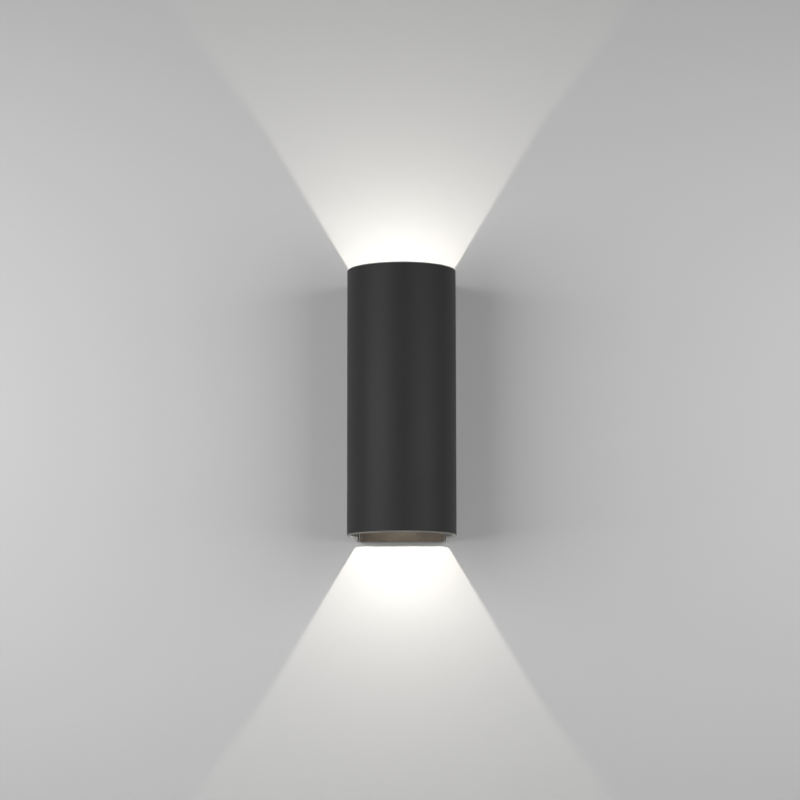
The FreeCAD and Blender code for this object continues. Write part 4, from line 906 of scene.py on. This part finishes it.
def tube_tree():
    """The section swept up, its rims rounded, its ends closed and its bores cut."""
    tree, given, leave = new_tree("Geometry", "Extruded tube", {
        "Section": "Geometry", "Height": "Float", "Ease": "Float", "Ease steps": "Int",
        "Hold": "Float", "Bores": "Object", "Finish": "Material"}, {"Tube": "Geometry"})
    section, ease, steps = given["Section"], given["Ease"], given["Ease steps"]
    position = put(tree, "GeometryNodeInputPosition").outputs[0]
    outward = way_of_points(tree)
    half_height = times(given["Height"], 0.5)

    # A grid: one column for each point of the section and one more to close it, and one row for
    # each ring. The rings at each end go round the rim's ease, and the last one holds the side flat.
    points = put(tree, "GeometryNodeAttributeDomainSize", {"Geometry": section},
                 component="MESH").outputs["Point Count"]
    rings = maths("MULTIPLY_ADD", steps, 2.0, 4.0)
    last_ring = minus(rings, 1.0)
    grid = put(tree, "GeometryNodeMeshGrid", {"Size X": points, "Size Y": last_ring,
                                              "Vertices X": plus(points, 1.0), "Vertices Y": rings})
    at = split(position)
    column = maths("ROUND", maths("MULTIPLY_ADD", points, 0.5, at["X"]))
    column = maths("FLOORED_MODULO", column, points)
    ring = maths("ROUND", maths("MULTIPLY_ADD", last_ring, 0.5, at["Y"]))
    from_end = maths("MINIMUM", ring, minus(last_ring, ring))
    end = maths("SIGN", minus(ring, times(last_ring, 0.5)))
    turn = times(maths("DIVIDE", maths("MINIMUM", from_end, steps), steps), math.pi / 2)
    inset = times(ease, minus(1.0, maths("SINE", turn)))
    drop = times(ease, minus(1.0, maths("COSINE", turn)))
    held = times(given["Hold"], maths("GREATER_THAN", from_end, steps))
    level = times(end, minus(half_height, plus(drop, held)))

    def of_section(field):
        """A field of the section, read at this column's point."""
        return put(tree, "GeometryNodeSampleIndex", {"Geometry": section, "Index": column, "Value": field},
                   data_type="FLOAT_VECTOR").outputs["Value"]

    def inwards(point, way, amount):
        pulled = put(tree, "ShaderNodeVectorMath", {0: way, "Scale": amount}, operation="SCALE")
        return put(tree, "ShaderNodeVectorMath", {0: point, 1: pulled.outputs[0]},
                   operation="SUBTRACT").outputs[0]

    def at_level(height):
        return put(tree, "ShaderNodeCombineXYZ", {"Z": height}).outputs[0]

    place = put(tree, "ShaderNodeVectorMath",
                {0: inwards(of_section(position), of_section(outward), inset), 1: at_level(level)},
                operation="ADD").outputs[0]
    side = put(tree, "GeometryNodeSetPosition", {"Geometry": grid.outputs["Mesh"], "Position": place})

    line = put(tree, "GeometryNodeSetPosition",
               {"Geometry": section, "Position": inwards(position, outward, ease)})
    line = put(tree, "GeometryNodeMeshToCurve", {"Mesh": line.outputs[0]})
    cap = put(tree, "GeometryNodeFillCurve", {"Curve": line.outputs[0]}, mode="NGONS").outputs[0]
    upper = put(tree, "GeometryNodeTransform", {"Geometry": cap, "Translation": at_level(half_height)})
    lower = put(tree, "GeometryNodeTransform",
                {"Geometry": cap, "Translation": at_level(times(half_height, -1.0))})
    lower = put(tree, "GeometryNodeFlipFaces", {"Mesh": lower.outputs[0]})
    parts = put(tree, "GeometryNodeJoinGeometry")
    for part in (side, upper, lower):
        tree.links.new(part.outputs[0], parts.inputs[0])
    closed = put(tree, "GeometryNodeMergeByDistance",
                 {"Geometry": parts.outputs[0], "Distance": 0.002 * MM})

    bores = put(tree, "GeometryNodeObjectInfo", {"Object": given["Bores"]},
                transform_space="ORIGINAL").outputs["Geometry"]
    cut = put(tree, "GeometryNodeMeshBoolean", {"Mesh 1": closed.outputs[0], "Mesh 2": bores},
              operation="DIFFERENCE", solver="EXACT")
    end_tree(tree, cut.outputs["Mesh"], given["Finish"], leave)
    return tree


class OBJECT_OT_wall_light_tube(bpy.types.Operator):
    """Sweep the tube's section and cut its screw holes"""
    bl_idname = "wall_light.tube"
    bl_label = "Make the tube"

    def execute(self, context):
        sizes = context.scene.tube_sizes
        metal = textured_black()
        hole = SIDE_SCREW["shank_radius"] + BORE_PLAY
        mouth = SIDE_SCREW["head_radius"] + BORE_PLAY
        thread = SET_SCREW_RADIUS + THREAD_PLAY
        countersunk = turned_mesh("countersunk_bore", [
            (0, -BORE_DEPTH), (hole, -BORE_DEPTH), (hole, hole - mouth), (mouth, 0),
            (mouth, BORE_PAST), (0, BORE_PAST)])
        threaded = turned_mesh("thread_bore", [
            (0, -BORE_DEPTH), (thread, -BORE_DEPTH), (thread, BORE_PAST), (0, BORE_PAST)])
        bores = plain_object("tube_bores", join("tube_bores", [
            (mesh_on_places("side_bores", countersunk, side_screw_places(), metal), metal),
            (mesh_on_places("thread_bores", threaded, set_screw_places(), metal), metal)]))
        section = tube_section(sizes)
        loop = [(i, (i + 1) % len(section)) for i in range(len(section))]
        tube = mesh_from_tree("swept_tube", place_mesh("tube_section", section, loop), tube_tree(), {
            "Height": TUBE_HIGH.z - TUBE_LOW.z, "Ease": sizes.ease, "Ease steps": sizes.ease_steps,
            "Hold": 1.2 * MM, "Bores": bores, "Finish": metal})
        bpy.data.objects.remove(bores)
        stand_in("swept_tube", tube, "tube_body")
        return {"FINISHED"}


# ---- light units ----

class OBJECT_OT_wall_light_chips(bpy.types.Operator):
    """Make the two light-emitting chips: ceramic base, round dam and low dome of phosphor"""
    bl_idname = "wall_light.chips"
    bl_label = "Make light chips"

    def execute(self, context):
        phosphor = phosphor_finish(context.scene.light_units.glow)
        ceramic = finish("ceramic", (0.82, 0.81, 0.77), 0.45, grain=3000.0, depth=0.01,
                         mottle=(200.0, 0.04))
        dam = finish("dam_silicone", (0.86, 0.85, 0.80), 0.32, grain=2500.0, depth=0.01,
                     mottle=(200.0, 0.03))
        field, rise, lip, steps = 5.2 * MM, 0.42 * MM, 0.1 * MM, 6
        dam_middle, dam_radius = field + 0.45 * MM, 0.48 * MM
        base, top = EMITTER_LOW.z, EMITTER_LOW.z + 1.0 * MM
        for side, sign in (("upper", 1), ("lower", -1)):
            dome = [(0, top + rise)]
            dome += [(field * k / steps, top + rise * (1 - (k / steps) ** 3) + lip)
                     for k in range(1, steps + 1)]
            dome += [(field + lip, top), (0, top)]
            ring = [(dam_middle + dam_radius * math.cos(math.radians(degrees)),
                     top + dam_radius * math.sin(math.radians(degrees)))
                    for degrees in range(0, 181, 20)]
            ring += [(dam_middle, top), ring[0]]
            mesh = join("led_chip_" + side, [
                (self.base(base, top), ceramic), (turned_mesh("chip_dome", dome), phosphor),
                (turned_mesh("chip_dam", ring), dam)])
            mesh.transform(Matrix.Translation((0, AXIS_Y, 0)))
            mesh.transform(Matrix.Diagonal((1, 1, sign, 1)))
            shape = bmesh.new()
            shape.from_mesh(mesh)
            bmesh.ops.remove_doubles(shape, verts=shape.verts, dist=0.0001 * MM)
            bmesh.ops.recalc_face_normals(shape, faces=shape.faces)
            shape.to_mesh(mesh)
            shape.free()
            stand_in("led_chip_" + side, mesh, "led_emitter_" + side, 40.0)
        return {"FINISHED"}

    def base(self, low, high):
        """The square ceramic base with eased edges."""
        width = EMITTER_HIGH.x - EMITTER_LOW.x
        shape = bmesh.new()
        block = bmesh.ops.create_cube(shape, size=1.0)["verts"]
        bmesh.ops.scale(shape, verts=block, vec=(width, width, high - low))
        bmesh.ops.translate(shape, verts=block, vec=(0, 0, (high + low) / 2))
        bmesh.ops.bevel(shape, geom=shape.edges[:], offset=0.25 * MM, segments=2, affect="EDGES")
        return mesh_of("chip_base", shape)


# ---- studio ----

class OBJECT_OT_wall_light_studio(bpy.types.Operator):
    """Set up wall, floor, soft lights and camera"""
    bl_idname = "wall_light.studio"
    bl_label = "Set up the studio"

    def execute(self, context):
        settings = context.scene.studio
        context.scene.view_settings.view_transform = "Standard"
        self.walls(settings)
        self.lights(settings, context.scene.light_units)
        self.world(settings)
        self.camera(settings)
        return {"FINISHED"}

    def walls(self, settings):
        """A wall with an opening that the foam pad covers, and a floor below the picture."""
        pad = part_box("wall_gasket")[1]
        half, lap = WALL_HALF_WIDTH, 2 * MM
        x, z = pad.x - lap, pad.z - lap
        outline = [(-half, FLOOR_LEVEL), (half, FLOOR_LEVEL), (half, WALL_TOP), (-half, WALL_TOP)]
        opening = [(-x, -z), (x, -z), (x, z), (-x, z)]
        wall = [(across, WALL_Y, up) for across, up in outline + opening]
        floor = [(-half, FLOOR_FRONT, FLOOR_LEVEL), (half, FLOOR_FRONT, FLOOR_LEVEL), wall[1], wall[0]]
        colour = wall_paint(settings.wall_colour)
        for name, spots, faces in (
                ("stage_wall", wall, [(0, 1, 5, 4), (1, 2, 6, 5), (2, 3, 7, 6), (3, 0, 4, 7)]),
                ("stage_floor", floor, [(0, 1, 2, 3)])):
            mesh = bpy.data.meshes.new(name)
            mesh.from_pydata(spots, [], faces)
            plain_object(name, mesh, colour)

    def lights(self, settings, lit):
        """A soft light on each side, one behind, one for the floor, and one in each light unit."""
        axis = (0, AXIS_Y, 0)
        level = EMITTER_HIGH.z + 0.3 * MM
        self.light("soft_left", (-0.68, -0.75, 0.02), axis, (1.0, 0.6), settings.left_power)
        self.light("soft_right", (0.68, -0.75, 0.02), axis, (1.0, 0.6), settings.right_power)
        self.light("soft_behind", (0.5, 1.6, 0.8), (0, 0, 0), (1.2, 1.2), 30.0)
        self.light("soft_floor", (0, -0.5, -0.5), (0, -0.5, -1), (3.0, 0.5), settings.floor_power)
        for name, sign in (("lamp_up", 1), ("lamp_down", -1)):
            self.light(name, (0, AXIS_Y, sign * level), (0, AXIS_Y, sign), (lit.core, lit.core),
                       lit.power, lit.colour, "DISK")

    def light(self, name, place, target, size, power, colour=(1, 1, 1), shape="RECTANGLE"):
        """An area light that the camera doesn't see."""
        data = bpy.data.lights.new(name, "AREA")
        data.shape = shape
        data.size, data.size_y = size
        data.energy = power
        data.color = colour
        made = plain_object(name, data)
        made.location = place
        made.rotation_euler = (Vector(target) - Vector(place)).to_track_quat("-Z", "Y").to_euler()
        made.visible_camera = False
        made.visible_transmission = False

    def world(self, settings):
        """Pale all round for the eye, and a weaker even light for the surfaces."""
        world = bpy.data.worlds.new("studio")
        bpy.context.scene.world = world
        world.use_nodes = True
        tree = world.node_tree
        tree.nodes.clear()
        eye = put(tree, "ShaderNodeLightPath").outputs["Is Camera Ray"]
        seen = put(tree, "ShaderNodeBackground", {"Color": (0.62, 0.62, 0.62), "Strength": 1.0})
        light = put(tree, "ShaderNodeBackground", {"Color": (1, 1, 1), "Strength": settings.surround})
        either = put(tree, "ShaderNodeMixShader", {0: eye, 1: light.outputs[0], 2: seen.outputs[0]})
        put(tree, "ShaderNodeOutputWorld", {"Surface": either.outputs[0]})

    def camera(self, settings):
        """A camera in front of the tube and below its middle, that looks up a little."""
        data = bpy.data.cameras.new("camera")
        data.lens = settings.lens
        data.sensor_width = 36.0
        data.clip_start, data.clip_end = 0.05, 50.0
        made = plain_object("camera", data)
        made.location = (0, AXIS_Y - settings.camera_distance, -settings.camera_drop)
        turn = Matrix.Rotation(-settings.camera_yaw, 3, "Z")
        turn = turn @ Matrix.Rotation(math.pi / 2 + settings.camera_tilt, 3, "X")
        made.rotation_euler = (turn @ Matrix.Rotation(settings.camera_roll, 3, "Z")).to_euler()
        bpy.context.scene.camera = made


class VIEW3D_PT_wall_light(bpy.types.Panel):
    """Sidebar panel of the wall light"""
    bl_label = "Wall light"
    bl_idname = "VIEW3D_PT_wall_light"
    bl_space_type = "VIEW_3D"
    bl_region_type = "UI"
    bl_category = "Wall light"

    def draw(self, context):
        for group in GROUPS:
            box = self.layout.box()
            settings = getattr(context.scene, group)
            for name in settings.__annotations__:
                box.prop(settings, name)
        for operator in OPERATORS:
            self.layout.operator(operator.bl_idname)


GROUPS = {"tube_coat": TubeCoatSettings, "tube_sizes": TubeSettings, "screw_sizes": ScrewSettings,
          "light_units": LightSettings, "studio": StudioSettings}
OPERATORS = (OBJECT_OT_wall_light_finishes, OBJECT_OT_wall_light_tube, OBJECT_OT_wall_light_chips,
             OBJECT_OT_wall_light_screws, OBJECT_OT_wall_light_studio)


def register():
    for name, group in GROUPS.items():
        bpy.utils.register_class(group)
        setattr(bpy.types.Scene, name, bpy.props.PointerProperty(type=group))
    for operator in OPERATORS:
        bpy.utils.register_class(operator)
    bpy.utils.register_class(VIEW3D_PT_wall_light)


def unregister():
    bpy.utils.unregister_class(VIEW3D_PT_wall_light)
    for operator in reversed(OPERATORS):
        bpy.utils.unregister_class(operator)
    for name, group in GROUPS.items():
        delattr(bpy.types.Scene, name)
        bpy.utils.unregister_class(group)


def main():
    register()
    bpy.ops.wall_light.finishes()
    bpy.ops.wall_light.tube()
    bpy.ops.wall_light.chips()
    bpy.ops.wall_light.screws()
    bpy.ops.wall_light.studio()


if __name__ == "__main__":
    main()
